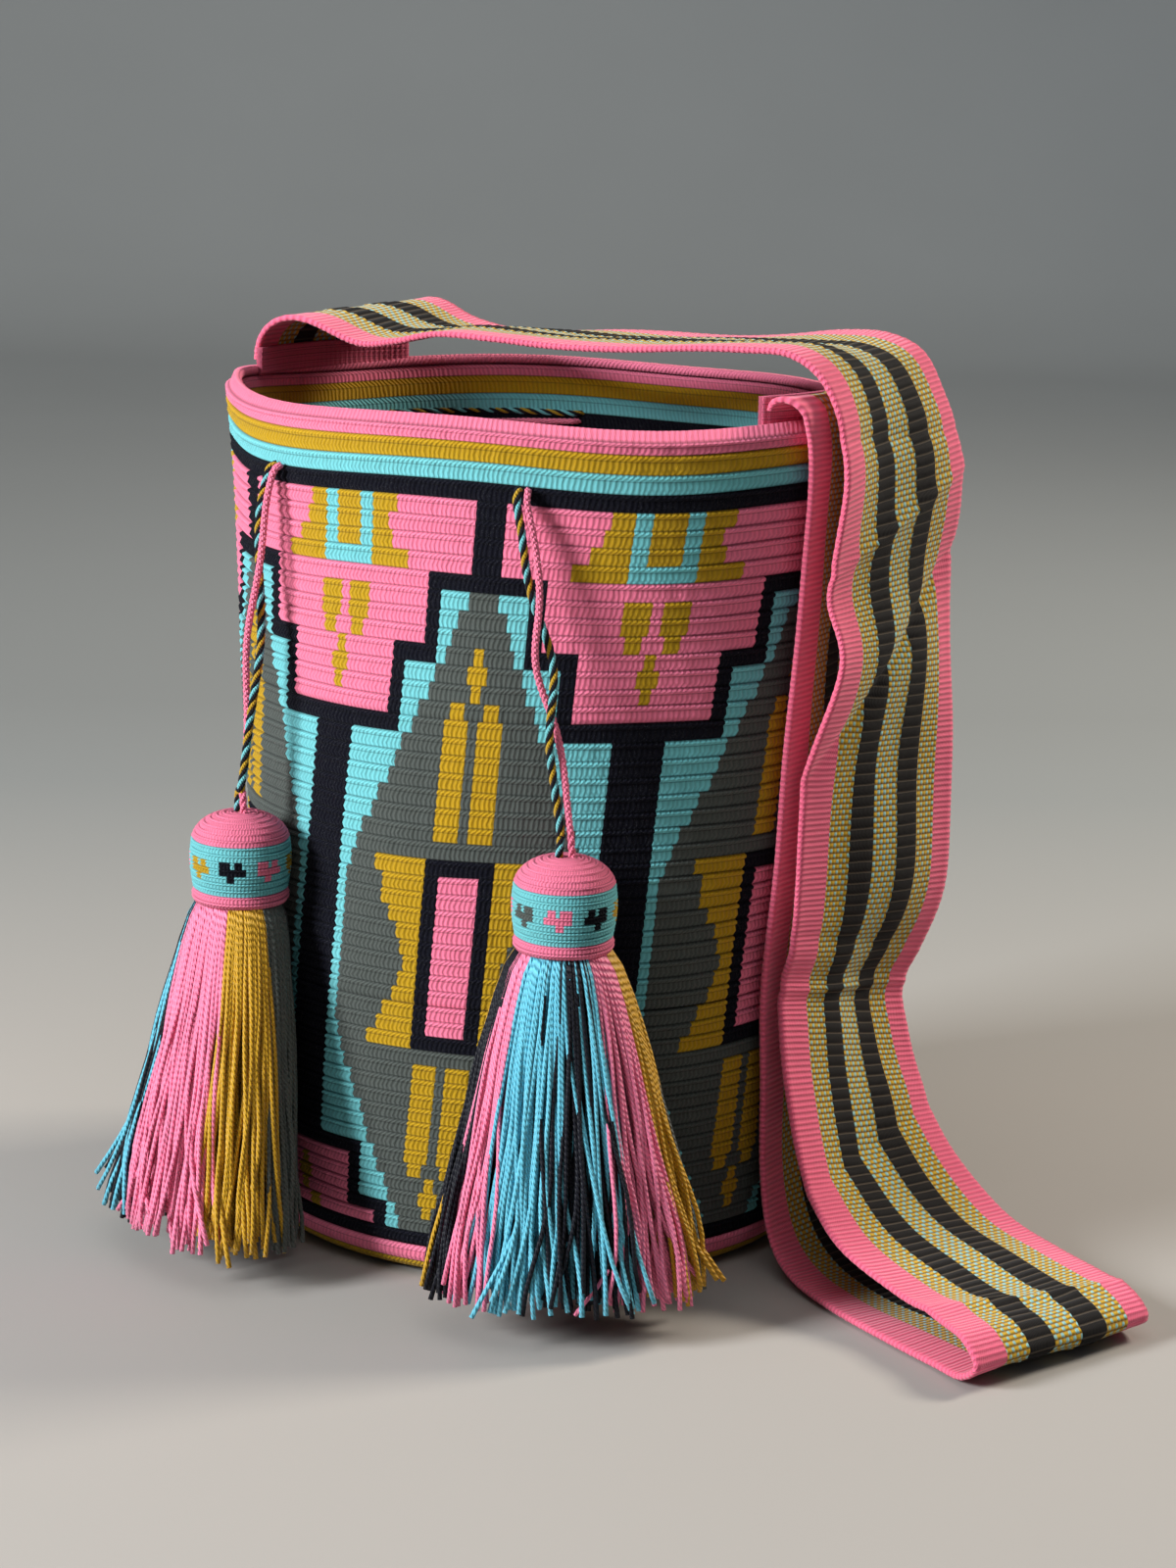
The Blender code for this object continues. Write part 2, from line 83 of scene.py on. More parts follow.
class Nodes:
    """Small helper for writing node trees."""

    def __init__(self, name):
        self.mat = bpy.data.materials.new(name)
        self.mat.use_nodes = True
        self.t = self.mat.node_tree
        self.bsdf = self.t.nodes["Principled BSDF"]

    def new(self, kind, **kw):
        n = self.t.nodes.new(kind)
        for k, v in kw.items():
            setattr(n, k, v)
        return n

    def link(self, a, b):
        self.t.links.new(a, b)

    def math(self, op, a, b=None, clamp=False):
        n = self.new("ShaderNodeMath", operation=op, use_clamp=clamp)
        for i, v in enumerate((a, b)):
            if v is None:
                continue
            if isinstance(v, (int, float)):
                n.inputs[i].default_value = v
            else:
                self.link(v, n.inputs[i])
        return n.outputs[0]

    def mix(self, fac, a, b, mode="MIX"):
        n = self.new("ShaderNodeMix", data_type="RGBA", blend_type=mode)
        for sock, v in ((n.inputs["Factor"], fac), (n.inputs[6], a), (n.inputs[7], b)):
            if isinstance(v, (int, float)):
                sock.default_value = v
            elif isinstance(v, tuple):
                sock.default_value = (*v, 1.0) if len(v) == 3 else v
            else:
                self.link(v, sock)
        return n.outputs[2]

    def noise(self, vec, scale, detail=2.0, rough=0.5):
        n = self.new("ShaderNodeTexNoise")
        n.inputs["Scale"].default_value = scale
        n.inputs["Detail"].default_value = detail
        n.inputs["Roughness"].default_value = rough
        self.link(vec, n.inputs["Vector"])
        return n.outputs["Fac"]

    def uv(self):
        u = self.new("ShaderNodeUVMap", uv_map="yarn")
        s = self.new("ShaderNodeSeparateXYZ")
        self.link(u.outputs[0], s.inputs[0])
        return s.outputs[0], s.outputs[1]

    def vec(self, x, y, z=0.0):
        c = self.new("ShaderNodeCombineXYZ")
        for i, v in enumerate((x, y, z)):
            if isinstance(v, (int, float)):
                c.inputs[i].default_value = v
            else:
                self.link(v, c.inputs[i])
        return c.outputs[0]

    def bump(self, height, strength, distance, normal=None):
        b = self.new("ShaderNodeBump")
        b.inputs["Strength"].default_value = strength
        b.inputs["Distance"].default_value = distance
        self.link(height, b.inputs["Height"])
        if normal is not None:
            self.link(normal, b.inputs["Normal"])
        return b.outputs[0]

    def finish(self, rough=0.85, sheen=0.25, sheen_tint=(1, 1, 1), spec=0.25):
        self.bsdf.inputs["Roughness"].default_value = rough
        self.bsdf.inputs["Metallic"].default_value = 0.0
        self.bsdf.inputs["Specular IOR Level"].default_value = spec
        self.bsdf.inputs["Sheen Weight"].default_value = sheen
        self.bsdf.inputs["Sheen Roughness"].default_value = 0.5
        self.bsdf.inputs["Sheen Tint"].default_value = (*sheen_tint, 1.0)
        return self.mat


def tone(rgb, k):
    return tuple(min(1.0, c * k) for c in rgb)


def crochet_material(name, rgb):
    """Single crochet in soft-spun cotton: a chain line over a row of legs,
    two strokes a stitch.  The map runs in stitches and rows."""
    m = Nodes(name)
    u, v = m.uv()
    obj = m.new("ShaderNodeTexCoord").outputs["Object"]
    f = m.math("FRACT", v)
    chain = m.math("LESS_THAN", f, 0.32)
    slope = m.math("ADD", m.math("MULTIPLY", chain, 3.2), 0.35)
    wob = m.math("MULTIPLY", m.noise(obj, 190, 2), 0.9)
    ph = m.math("ADD", m.math("ADD", m.math("MULTIPLY", u, 2.0), m.math("MULTIPLY", slope, f)), wob)
    stroke = m.math("SINE", m.math("MULTIPLY", ph, math.tau))
    half = m.math("ADD", m.math("MULTIPLY", stroke, 0.5), 0.5)
    # plies inside each stroke
    ply = m.math("SINE", m.math("MULTIPLY", m.math("ADD", m.math("MULTIPLY", u, 7.0),
                                                   m.math("ADD", m.math("MULTIPLY", v, 5.0), wob)), math.tau))
    fibre = m.noise(m.vec(m.math("MULTIPLY", u, 11.0), m.math("MULTIPLY", v, 4.0)), 1.0, 3, 0.7)
    fuzz = m.noise(obj, 2600, 2, 0.7)
    patch = m.noise(obj, 60, 2)
    # painted shade: the colour is darkened in the gap between rows and in the thin crease under each chain line
    away = m.math("MINIMUM", f, m.math("SUBTRACT", 1.0, f))
    gap = m.math("SUBTRACT", 1.0, m.math("DIVIDE", away, 0.085), clamp=True)
    crease_shade = m.math("SUBTRACT", 1.0, m.math("DIVIDE", m.math("ABSOLUTE", m.math("SUBTRACT", f, 0.345)), 0.055), clamp=True)
    dark = m.math("MAXIMUM", m.math("MULTIPLY", gap, 0.8), m.math("MULTIPLY", crease_shade, 0.62))
    # painted shade and light: each stroke is darker in its valleys and lighter on its crest, following its bump
    col = m.mix(half, tone(rgb, 0.80), tone(rgb, 1.08))
    col = m.mix(m.math("MULTIPLY", fibre, 0.34), col, tone(rgb, 0.62))
    col = m.mix(m.math("MULTIPLY", patch, 0.25), col, tone(rgb, 1.15))
    # painted highlight: the chain line on top of each row is lightened
    col = m.mix(m.math("MULTIPLY", chain, 0.22), col, tone(rgb, 1.3))
    # painted shade in the gap between rows and in the crease under the chain line
    col = m.mix(dark, col, tone(rgb, 0.22))
    # light fibre ends standing off the yarn
    col = m.mix(m.math("MULTIPLY", m.math("GREATER_THAN", fuzz, 0.64), 0.14), col,
                tuple(0.55 * c + 0.30 for c in rgb))
    m.link(col, m.bsdf.inputs["Base Color"])
    n = m.bump(half, 0.55, 0.0006)
    n = m.bump(ply, 0.35, 0.0002, n)
    n = m.bump(fibre, 0.5, 0.0004, n)
    n = m.bump(fuzz, 0.4, 0.0002, n)
    m.link(n, m.bsdf.inputs["Normal"])
    return m.finish(0.9, 0.16 if max(rgb) > 0.05 else 0.03, tuple(0.5 + 0.5 * c for c in rgb), 0.25 if max(rgb) > 0.05 else 0.12)


def strand_material(name, rgb, ply=9.0, rough=0.62):
    """Loose mercerised yarn of a tassel or cord: twisted plies and a soft shine.
    The map runs once round the strand and in strand lengths."""
    m = Nodes(name)
    u, v = m.uv()
    obj = m.new("ShaderNodeTexCoord").outputs["Object"]
    tw = m.math("SINE", m.math("MULTIPLY", m.math("ADD", m.math("MULTIPLY", u, 3.0),
                                                  m.math("MULTIPLY", v, ply)), math.tau))
    half = m.math("ADD", m.math("MULTIPLY", tw, 0.5), 0.5)
    each = m.noise(obj, 420, 2, 0.6)
    # painted shade between the twisted plies: darker in the grooves, lighter on each ply's crest
    col = m.mix(half, tone(rgb, 0.62), tone(rgb, 1.06))
    col = m.mix(m.math("MULTIPLY", each, 0.4), col, tone(rgb, 1.25))
    m.link(col, m.bsdf.inputs["Base Color"])
    n = m.bump(half, 0.8, 0.0004)
    n = m.bump(m.noise(obj, 3000, 2), 0.3, 0.00015, n)
    m.link(n, m.bsdf.inputs["Normal"])
    return m.finish(rough, 0.2 if max(rgb) > 0.05 else 0.03, tuple(0.5 + 0.5 * c for c in rgb), 0.4 if max(rgb) > 0.05 else 0.25)


# ------------------------------------------------------------------ meshes
def grid_mesh(name, P, U, V, idx, mats, body, node, close_u=False, close_v=False, caps=False):
    """A grid of quads: P (rows, cols, 3), U and V its map, idx the material of each quad."""
    m, n = P.shape[:2]
    rows = np.arange(m if close_v else m - 1)
    cols = np.arange(n if close_u else n - 1)
    R, C = np.meshgrid(rows, cols, indexing="ij")
    R2, C2 = (R + 1) % m, (C + 1) % n
    quads = np.stack([R * n + C, R2 * n + C, R2 * n + C2, R * n + C2], -1).reshape(-1, 4)
    me = bpy.data.meshes.new(name)
    me.vertices.add(m * n)
    me.vertices.foreach_set("co", P.reshape(-1).astype(np.float32))
    k = len(quads)
    extra = []
    if caps:
        ring = [[r * n for r in range(m)], [r * n + n - 1 for r in range(m)]]
        extra = [ring[0], ring[1][::-1]]
    total = k * 4 + sum(len(e) for e in extra)
    me.loops.add(total)
    me.polygons.add(k + len(extra))
    loops = np.concatenate([quads.reshape(-1)] + [np.array(e) for e in extra]) if extra else quads.reshape(-1)
    me.loops.foreach_set("vertex_index", loops.astype(np.int32))
    starts = np.arange(k) * 4
    totals = np.full(k, 4)
    if extra:
        s = k * 4
        for e in extra:
            starts = np.append(starts, s)
            totals = np.append(totals, len(e))
            s += len(e)
    me.polygons.foreach_set("loop_start", starts.astype(np.int32))
    me.polygons.foreach_set("loop_total", totals.astype(np.int32))
    mi = np.zeros(k + len(extra), np.int32)
    mi[:k] = np.asarray(idx).reshape(-1) if np.ndim(idx) else idx
    for mt in mats:
        me.materials.append(mt)
    me.polygons.foreach_set("material_index", mi)
    me.polygons.foreach_set("use_smooth", np.ones(k + len(extra), bool))
    du = (U[:, 1:2] - U[:, 0:1]) if close_u else None
    Ue = np.concatenate([U, U[:, -1:] + du], 1) if close_u else U
    Ve = np.concatenate([V, V[:, :1]], 1) if close_u else V
    if close_v:
        dv = V[1:2] - V[0:1]
        Ve = np.concatenate([Ve, Ve[-1:] + (Ve[1:2] - Ve[0:1])], 0)
        Ue = np.concatenate([Ue, Ue[:1]], 0)
    uv = np.stack([
        np.stack([Ue[R, C], Ve[R, C]], -1), np.stack([Ue[R + 1, C], Ve[R + 1, C]], -1),
        np.stack([Ue[R + 1, C + 1], Ve[R + 1, C + 1]], -1), np.stack([Ue[R, C + 1], Ve[R, C + 1]], -1),
    ], 2).reshape(-1)
    layer = me.uv_layers.new(name="yarn")
    full = np.zeros(total * 2, np.float32)
    full[:len(uv)] = uv
    layer.data.foreach_set("uv", full)
    me.update(calc_edges=True)
    me.validate()
    ob = bpy.data.objects.new(name, me)
    scene.collection.objects.link(ob)
    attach(ob, body)
    if node:
        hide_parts(*([node] if isinstance(node, str) else node))
    return ob


def smooth(a, b, x):
    t = np.clip((np.asarray(x, float) - a) / (b - a), 0, 1)
    return t * t * (3 - 2 * t)


def catmull(points, per):
    p = np.asarray(points, float)
    p = np.vstack([2 * p[0] - p[1], p, 2 * p[-1] - p[-2]])
    out = []
    for i in range(1, len(p) - 2):
        p0, p1, p2, p3 = p[i - 1:i + 3]
        t = (np.arange(per) / per)[:, None]
        out.append(0.5 * (2 * p1 + (p2 - p0) * t + (2 * p0 - 5 * p1 + 4 * p2 - p3) * t ** 2
                          + (3 * p1 - p0 - 3 * p2 + p3) * t ** 3))
    out.append(p[-2][None])
    return np.vstack(out)


def resample(p, count=None, step=None):
    seg = np.linalg.norm(np.diff(p[:, :3], axis=0), axis=1)
    run = np.r_[0, np.cumsum(seg)]
    if count is None:
        count = int(run[-1] / step) + 1
    want = np.linspace(0, run[-1], count)
    return np.stack([np.interp(want, run, p[:, i]) for i in range(p.shape[1])], 1), run[-1]


def frames(path):
    """Tangent and two normals along a path, turned as little as possible."""
    t = np.gradient(path, axis=0)
    t /= np.linalg.norm(t, axis=1)[:, None] + 1e-12
    n = np.zeros_like(t)
    ref = np.array([0.0, 0.0, 1.0]) if abs(t[0, 2]) < 0.9 else np.array([1.0, 0.0, 0.0])
    n[0] = ref - t[0] * (ref @ t[0])
    n[0] /= np.linalg.norm(n[0])
    for i in range(1, len(t)):
        v = n[i - 1] - t[i] * (n[i - 1] @ t[i])
        n[i] = v / (np.linalg.norm(v) + 1e-12)
    return t, n, np.cross(t, n)


# ------------------------------------------------------------------ the bag
WALL_PROFILE = np.array((
    (0.0925, 0.0000), (0.0985, 0.0012), (0.1020, 0.0050), (0.1033, 0.0120),
    (0.1045, 0.0400), (0.1050, 0.0900), (0.1052, 0.1400), (0.1058, 0.1900),
    (0.1070, 0.2300), (0.1088, 0.2600), (0.1106, 0.2800), (0.1118, 0.2900),
    (0.1123, 0.2960), (0.1118, 0.2990), (0.1103, 0.3000)))
RIM_TOP, EYELET_Z, WALL = 0.300, 0.2775, 0.004


def oval(deg, z):
    return -0.006 * np.cos(np.asarray(deg) * 2 * D2R) * smooth(0.14, 0.285, z)


def wall_radius(deg, z):
    return np.interp(z, WALL_PROFILE[:, 1], WALL_PROFILE[:, 0]) + oval(deg, z)


def polar(deg, r, z):
    deg = np.asarray(deg, float) * D2R
    return np.stack([r * np.sin(deg), -r * np.cos(deg), np.broadcast_to(z, deg.shape)], -1)


STITCHES, REPEAT = 192, 32
STEP_DEG = 360.0 / STITCHES
LEAN = 0.25                      # the stitches lean this many degrees a row
BODY_ROWS, MIDDLE = 46, 26.5
FIRST_DEG = 22.95               # the first diamond's middle in row 2.5
Z_TOP, Z_LOW = 0.2722, 0.0115


GLASS = (5.4, 4.6, 4.2, 3.4, 2.5, 1.9, 1.5, 2.0, 2.6, 3.4, 4.1, 4.9)
TRAPEZE = ((4.85, 5.9), (5.3, 5.2), (6.3, 5.7), (8.1, 7.3))


def field_colour(u, row):
    """Colour at u stitches in body row 1..46: a repeat of 32 stitches holds a
    stepped pink field with a black stem below it, and a grey diamond between.
    The lower half mirrors the upper about the middle of the diamond."""
    x = (u + REPEAT / 2) % REPEAT - REPEAT / 2        # from the pink field's middle
    p = abs(x)
    e = REPEAT / 2 - p                                # from the diamond's middle
    if row >= BODY_ROWS:
        return NAVY
    r = 2 * MIDDLE - row if row > MIDDLE else row
    if r <= 4:
        if e < 1.5:
            return NAVY
        if -TRAPEZE[r - 1][0] < x < TRAPEZE[r - 1][1]:
            if r == 4:
                return TURQ if p < 3.05 else MUSTARD
            return TURQ if 1.7 < p < 3.1 else MUSTARD
        return PINK
    if r == 5:
        return PINK if p < 10.2 else NAVY
    field = GREY if e < min(12.3, 1.6 + 0.71 * (r - 6)) else TURQ
    small = 1.25 if r == 10 else 0.5
    if r <= 8:
        if p < 10.2:
            on = 0.5 < p < 2.8 if r < 8 else 1.0 <= p < 2.6
            return MUSTARD if on else PINK
        return NAVY if p < 11.7 else field
    if r <= 12:
        if r < 12 and (p < small or e < small):
            return MUSTARD
        if p < 6.5:
            return PINK
        if p < 8.1 or (r == 9 and p < 11.7):
            return NAVY
        return MUSTARD if r == 12 and 1.0 <= e < 2.6 else field
    if r == 13 and p < 8.1:
        return NAVY
    if r < 20 and 0.5 < e < 2.8:
        return MUSTARD
    if p < 2.6:
        return NAVY
    if r >= 21:
        if e < 3.6:
            return PINK if r > 21 and e < 2.0 else NAVY
        if e < 3.6 + GLASS[row - 21]:
            return MUSTARD
    return field


def row_colour(u, row):
    """Rows above the body are the rim's stripes, rows below it the base's edge."""
    if row <= -4:
        return PINK
    if row < 1:
        return (NAVY, TURQ, MUSTARD, PINK)[-row] if row > -4 else PINK
    if row > BODY_ROWS:
        return (PINK, MUSTARD, NAVY, MUSTARD)[min(3, row - BODY_ROWS - 1)]
    return field_colour(u, row)


crochet = [crochet_material("crochet_" + YARN[k][0], YARN[k][1]) for k in range(5)]

# rows as index: (height at the top, height at the bottom)
# the lip's roll is row -4, then pink, mustard, turquoise and navy rows 0..-3
row_z = {-4: None}
z = 0.2957
for index, tall in ((-3, 0.0042), (-2, 0.0067), (-1, 0.0065), (0, 0.0061)):
    row_z[index] = (z, z - tall)
    z -= tall
Z_TOP = z
# the rows were worked taller towards the top
tall = np.interp(np.arange(1, BODY_ROWS + 1), (1, 14, 21, 27, 33, 46), (6.25, 6.2, 6.0, 5.8, 5.4, 4.9))
tall *= (Z_TOP - Z_LOW) / tall.sum()
for index in range(1, BODY_ROWS + 1):
    row_z[index] = (Z_TOP - tall[:index - 1].sum(), Z_TOP - tall[:index].sum())

T_IN_ROW = np.array([0.0, 0.10, 0.22, 0.34, 0.66])
RELIEF = np.array([-0.30, 1.05, 1.00, 0.15, 1.05]) * 1e-3


def row_relief(t):
    return np.interp(t, np.r_[T_IN_ROW, 1.0], np.r_[RELIEF, RELIEF[0]])


def dents(deg, z):
    """Soft unevenness of a crocheted wall that stands by itself."""
    d = np.asarray(deg) * D2R
    return (0.0009 * np.sin(3 * d + 1.3 + 14 * z) + 0.0006 * np.sin(5 * d - 0.7 - 31 * z)
            + 0.0004 * np.sin(9 * d + 47 * z)) * smooth(0.0, 0.04, z) \
        + 0.0024 * np.exp(-((np.asarray(deg) % 360 - 85) / 24) ** 2) * smooth(0.10, 0.19, z)


def rim_lift(deg):
    d = np.asarray(deg) * D2R
    at = (np.asarray(deg) + 180) % 360 - 180
    return (0.0008 * np.sin(2 * d + 0.4) + 0.0006 * np.sin(5 * d + 1.0)
            + 0.0026 * np.exp(-((at + 64) / 26) ** 2) - 0.0022 * np.exp(-((at - 56) / 22) ** 2))


WARP_AT = np.arange(-180, 541, 5.0)
WARP = np.convolve(np.interp((WARP_AT + 180) % 360 - 180, (-180, 0, 40, 53, 83, 123, 170, 180), (0, 0, 0, 0.9, 3.0, 3.0, 0, 0)),
                   np.ones(5) / 5, "same")
WARP[:3] = WARP[-3:] = 0


def stitch_deg(cu, s):
    """Where stitch cu of row s sits round the bag; some stitches are a little wider."""
    deg = FIRST_DEG + LEAN * 2.5 + (cu - 16.0) * STEP_DEG - LEAN * s
    return deg + np.interp((deg + 180) % 360 - 180, WARP_AT, WARP)


PER_STITCH = 4
COLS = STITCHES * PER_STITCH
stitch_jit = RNG.normal(0, 0.07e-3, (60, STITCHES))
row_wave = RNG.normal(0, 1, (60, 4))


def wall_point(deg, z, off):
    r = wall_radius(deg, z) + dents(deg, z) + off
    lift = rim_lift(deg) * smooth(0.2, 0.29, z)
    return np.stack([r * np.sin(deg * D2R), -r * np.cos(deg * D2R), z + lift], -1)


def outer_rows(name, indices):
    """The outer face of some rows, one strip of five lines of points a row."""
    P, V, U, colour = [], [], [], []
    cu = np.arange(COLS) / PER_STITCH
    st = np.arange(COLS) // PER_STITCH
    leg = np.where(np.arange(COLS) % 2 == 0, -1.0, 1.0)
    last = indices[-1]
    for index in indices:
        lines = list(enumerate(T_IN_ROW))
        if index == last:
            lines.append((0, 1.0))
        for k, t in lines:
            s = index + t
            deg = stitch_deg(cu, s)
            wave = sum(row_wave[index + 6, j] * np.sin((j + 2) * deg * D2R + 2.1 * j) for j in range(4)) * 0.00012
            h = RELIEF[k] if t < 1.0 else RELIEF[0]
            h = h + (stitch_jit[index + 6][st] if 0 < t < 1 else 0.0)
            if k == 4:
                h = h + leg * 0.00012
            if k in (1, 2):
                h = h + leg * 0.00007 * (1 if k == 1 else -1)
            if index == -4:
                # the rolled lip: from inside, over the top, to the outside
                ang = math.pi * (1.0 - t)
                base_off = -0.0024 + 0.0024 * math.cos(ang)
                zz = 0.2962 + 0.0034 * math.sin(ang)
                push = 0.35 * h
                P.append(wall_point(deg, zz + push * math.sin(ang), base_off + push * math.cos(ang)))
            else:
                top, low = row_z[index]
                zz = top + (low - top) * t
                P.append(wall_point(deg, zz + wave, h - 0.0004))
            U.append(cu)
            V.append(np.full(COLS, s + 10.0))
        cols = np.array([row_colour((i + 0.5) / 2, index) for i in range(STITCHES * 2)])[np.arange(COLS) // 2]
        colour += [cols] * 5
    P, U, V = np.array(P), np.array(U), np.array(V)
    return grid_mesh(name, P, U, V, np.array(colour), crochet, "bag", "bag_body", close_u=True)


outer_rows("bag_wall_upper", list(range(-4, 13)))
outer_rows("bag_wall_middle", list(range(13, 30)))
outer_rows("bag_wall_lower", list(range(30, BODY_ROWS + 1)))


def inner_wall():
    """The inside: the same rows seen from within, two lines of points a row."""
    n = STITCHES * 2
    cu = np.arange(n) / 2
    st = np.arange(n) // 2
    P, U, V, colour = [], [], [], []
    for index in range(-3, BODY_ROWS + 1):
        top, low = row_z[index]
        for t in (0.0, 0.45):
            s = index + t
            deg = stitch_deg(cu, s)
            bulge = {0.0: 0.0, 0.45: 0.0008}[t]
            zz = top + (low - top) * t
            P.append(wall_point(deg, zz, -0.0046 - bulge + 0.0004 * np.exp(-((zz - 0.2957) / 0.004) ** 2)))
            U.append(cu)
            V.append(np.full(n, s + 10.0))
            colour.append(np.array([row_colour((i + 0.5) / 2, index) for i in range(n)]))
    deg = stitch_deg(cu, 47.0)
    for r, zz in ((0.0960, 0.0060), (0.0860, 0.0043), (0.0560, 0.0040), (0.0260, 0.0042), (0.0010, 0.0043)):
        P.append(polar(deg, np.full(n, r), zz))
        U.append(cu)
        V.append(np.full(n, 70.0 + r * 170))
        colour.append(np.full(n, PINK))
    P, U, V = np.array(P)[:, ::-1], np.array(U)[:, ::-1], np.array(V)[:, ::-1]
    return grid_mesh("bag_inside", P, U, V, np.array(colour[:-1])[:, ::-1], crochet, "bag", "bag_body",
                     close_u=True)


def base():
    """The round base, crocheted outwards in rings, with its pink and mustard edge."""
    n = 180
    cu = np.arange(n) * STITCHES / n
    deg = np.arange(n) * 360.0 / n
    prof = catmull([(0.1036, 0.0115), (0.1026, 0.0062), (0.1000, 0.0024), (0.0955, 0.0004), (0.0900, 0.0002)], 8)
    prof = np.vstack([prof, [(r, 0.0002) for r in np.linspace(0.088, 0.0015, 70)]])
    run = np.r_[0, np.cumsum(np.linalg.norm(np.diff(prof, axis=0), axis=1))]
    P, U, V, colour = [], [], [], []
    s_all = np.linspace(0, run[-1], 17 * 5)
    for s in s_all:
        r, zz = np.interp(s, run, prof[:, 0]), np.interp(s, run, prof[:, 1])
        v = s / run[-1] * 17
        h = row_relief(v % 1.0) * 0.8
        edge = smooth(0.0002, 0.008, zz)
        P.append(polar(deg, np.full(n, r + h * edge), zz + (0.0005 - h * 0.6) * (1 - edge)))
        U.append(cu)
        V.append(np.full(n, v + 60))
        ring = int(v)
        c = (PINK, MUSTARD, NAVY)[ring] if ring < 3 else (PINK if (ring // 2) % 3 == 0 else (TURQ if (ring // 2) % 3 == 1 else MUSTARD))
        colour.append(np.full(n, c))
    P, U, V = np.array(P), np.array(U), np.array(V)
    P[..., 2] = np.maximum(P[..., 2], 0.0001)
    return grid_mesh("bag_base", P, U, V, np.array(colour[:-1]), crochet, "bag", "bag_body", close_u=True)


inner_wall()
base()


# ------------------------------------------------------------------ the band
BAND_ROUTE = np.array((
    ((-0.1135, -0.0215, 0.3120), (-0.1060, 0.0530, 0.3120)),
    ((-0.1115, -0.0215, 0.3165), (-0.1050, 0.0530, 0.3165)),
    ((-0.1065, -0.0215, 0.3205), (-0.1015, 0.0535, 0.3205)),
    ((-0.0980, -0.0215, 0.3212), (-0.0950, 0.0540, 0.3230)),
    ((-0.0850, -0.0220, 0.3172), (-0.0830, 0.0540, 0.3215)),
    ((-0.0680, -0.0220, 0.3125), (-0.0690, 0.0540, 0.3160)),
    ((-0.0530, -0.0220, 0.3145), (-0.0500, 0.0540, 0.3135)),
    ((-0.0340, -0.0220, 0.3185), (-0.0300, 0.0540, 0.3145)),
    ((-0.0100, -0.0220, 0.3180), (-0.0100, 0.0540, 0.3155)),
    ((0.0150, -0.0220, 0.3170), (0.0150, 0.0540, 0.3160)),
    ((0.0450, -0.0220, 0.3178), (0.0450, 0.0540, 0.3170)),
    ((0.0700, -0.0220, 0.3192), (0.0700, 0.0540, 0.3185)),
    ((0.0920, -0.0220, 0.3200), (0.0900, 0.0540, 0.3205)),
    ((0.1090, -0.0220, 0.3198), (0.1070, 0.0540, 0.3208)),
    ((0.1215, -0.0220, 0.3128), (0.1200, 0.0540, 0.3160)),
    ((0.1292, -0.0220, 0.2985), (0.1280, 0.0540, 0.3035)),
    ((0.1320, -0.0220, 0.2800), (0.1345, 0.0540, 0.2870)),
    ((0.1300, -0.0220, 0.2600), (0.1360, 0.0540, 0.2660)),
    ((0.1280, -0.0220, 0.2400), (0.1345, 0.0540, 0.2440)),
    ((0.1340, -0.0220, 0.2180), (0.1360, 0.0540, 0.2130)),
    ((0.1228, -0.0220, 0.1800), (0.1385, 0.0540, 0.1740)),
    ((0.1205, -0.0220, 0.1400), (0.1395, 0.0535, 0.1330)),
    ((0.1190, -0.0220, 0.1180), (0.1320, 0.0525, 0.1080)),
    ((0.1150, -0.0220, 0.1030), (0.1240, 0.0510, 0.0900)),
    ((0.1168, -0.0240, 0.0890), (0.1275, 0.0505, 0.0730)),
    ((0.1215, -0.0275, 0.0690), (0.1350, 0.0480, 0.0560)),
    ((0.1320, -0.0340, 0.0430), (0.1510, 0.0400, 0.0350)),
    ((0.1510, -0.0440, 0.0250), (0.1780, 0.0290, 0.0200)),
    ((0.1800, -0.0540, 0.0160), (0.2060, 0.0180, 0.0150)),
    ((0.2030, -0.0660, 0.0150), (0.2290, 0.0060, 0.0140)),
    ((0.2160, -0.0760, 0.0155), (0.2420, 0.0000, 0.0130)),
    ((0.2230, -0.0800, 0.0090), (0.2490, -0.0040, 0.0080)),
    ((0.2160, -0.0770, 0.0025), (0.2420, -0.0010, 0.0025)),
    ((0.2030, -0.0700, 0.0013), (0.2290, 0.0060, 0.0013)),
    ((0.1800, -0.0600, 0.0013), (0.2060, 0.0160, 0.0013)),
    ((0.1520, -0.0470, 0.0013), (0.1760, 0.0290, 0.0013)),
    ((0.1300, -0.0350, 0.0040), (0.1490, 0.0390, 0.0040)),
    ((0.1170, -0.0270, 0.0140), (0.1290, 0.0460, 0.0140)),
    ((0.1110, -0.0235, 0.0370), (0.1150, 0.0500, 0.0370)),
    ((0.1100, -0.0230, 0.0700), (0.1115, 0.0520, 0.0700)),
    ((0.1095, -0.0230, 0.1050), (0.1125, 0.0520, 0.1050)),
    ((0.1130, -0.0235, 0.1500), (0.1130, 0.0520, 0.1500)),
    ((0.1155, -0.0245, 0.2000), (0.1145, 0.0515, 0.2000)),
    ((0.1190, -0.0250, 0.2500), (0.1180, 0.0510, 0.2500)),
    ((0.1222, -0.0280, 0.2850), (0.1212, 0.0490, 0.2850)),
    ((0.1222, -0.0315, 0.2990), (0.1215, 0.0470, 0.2990)),
    ((0.1205, -0.0340, 0.3060), (0.1200, 0.0455, 0.3060)),
    ((0.1172, -0.0355, 0.3088), (0.1165, 0.0450, 0.3088)),
    ((0.1138, -0.0360, 0.3078), (0.1125, 0.0450, 0.3078))))
JOIN_TOP = 0.3040
JOIN_LEFT, JOIN_RIGHT = (-79.0, -117.0), (72.0, 113.0)
BAND_CUTS = np.array([0.0, 0.170, 0.310, 0.458, 0.600, 0.748, 0.872, 1.0])
RIB = 0.0039


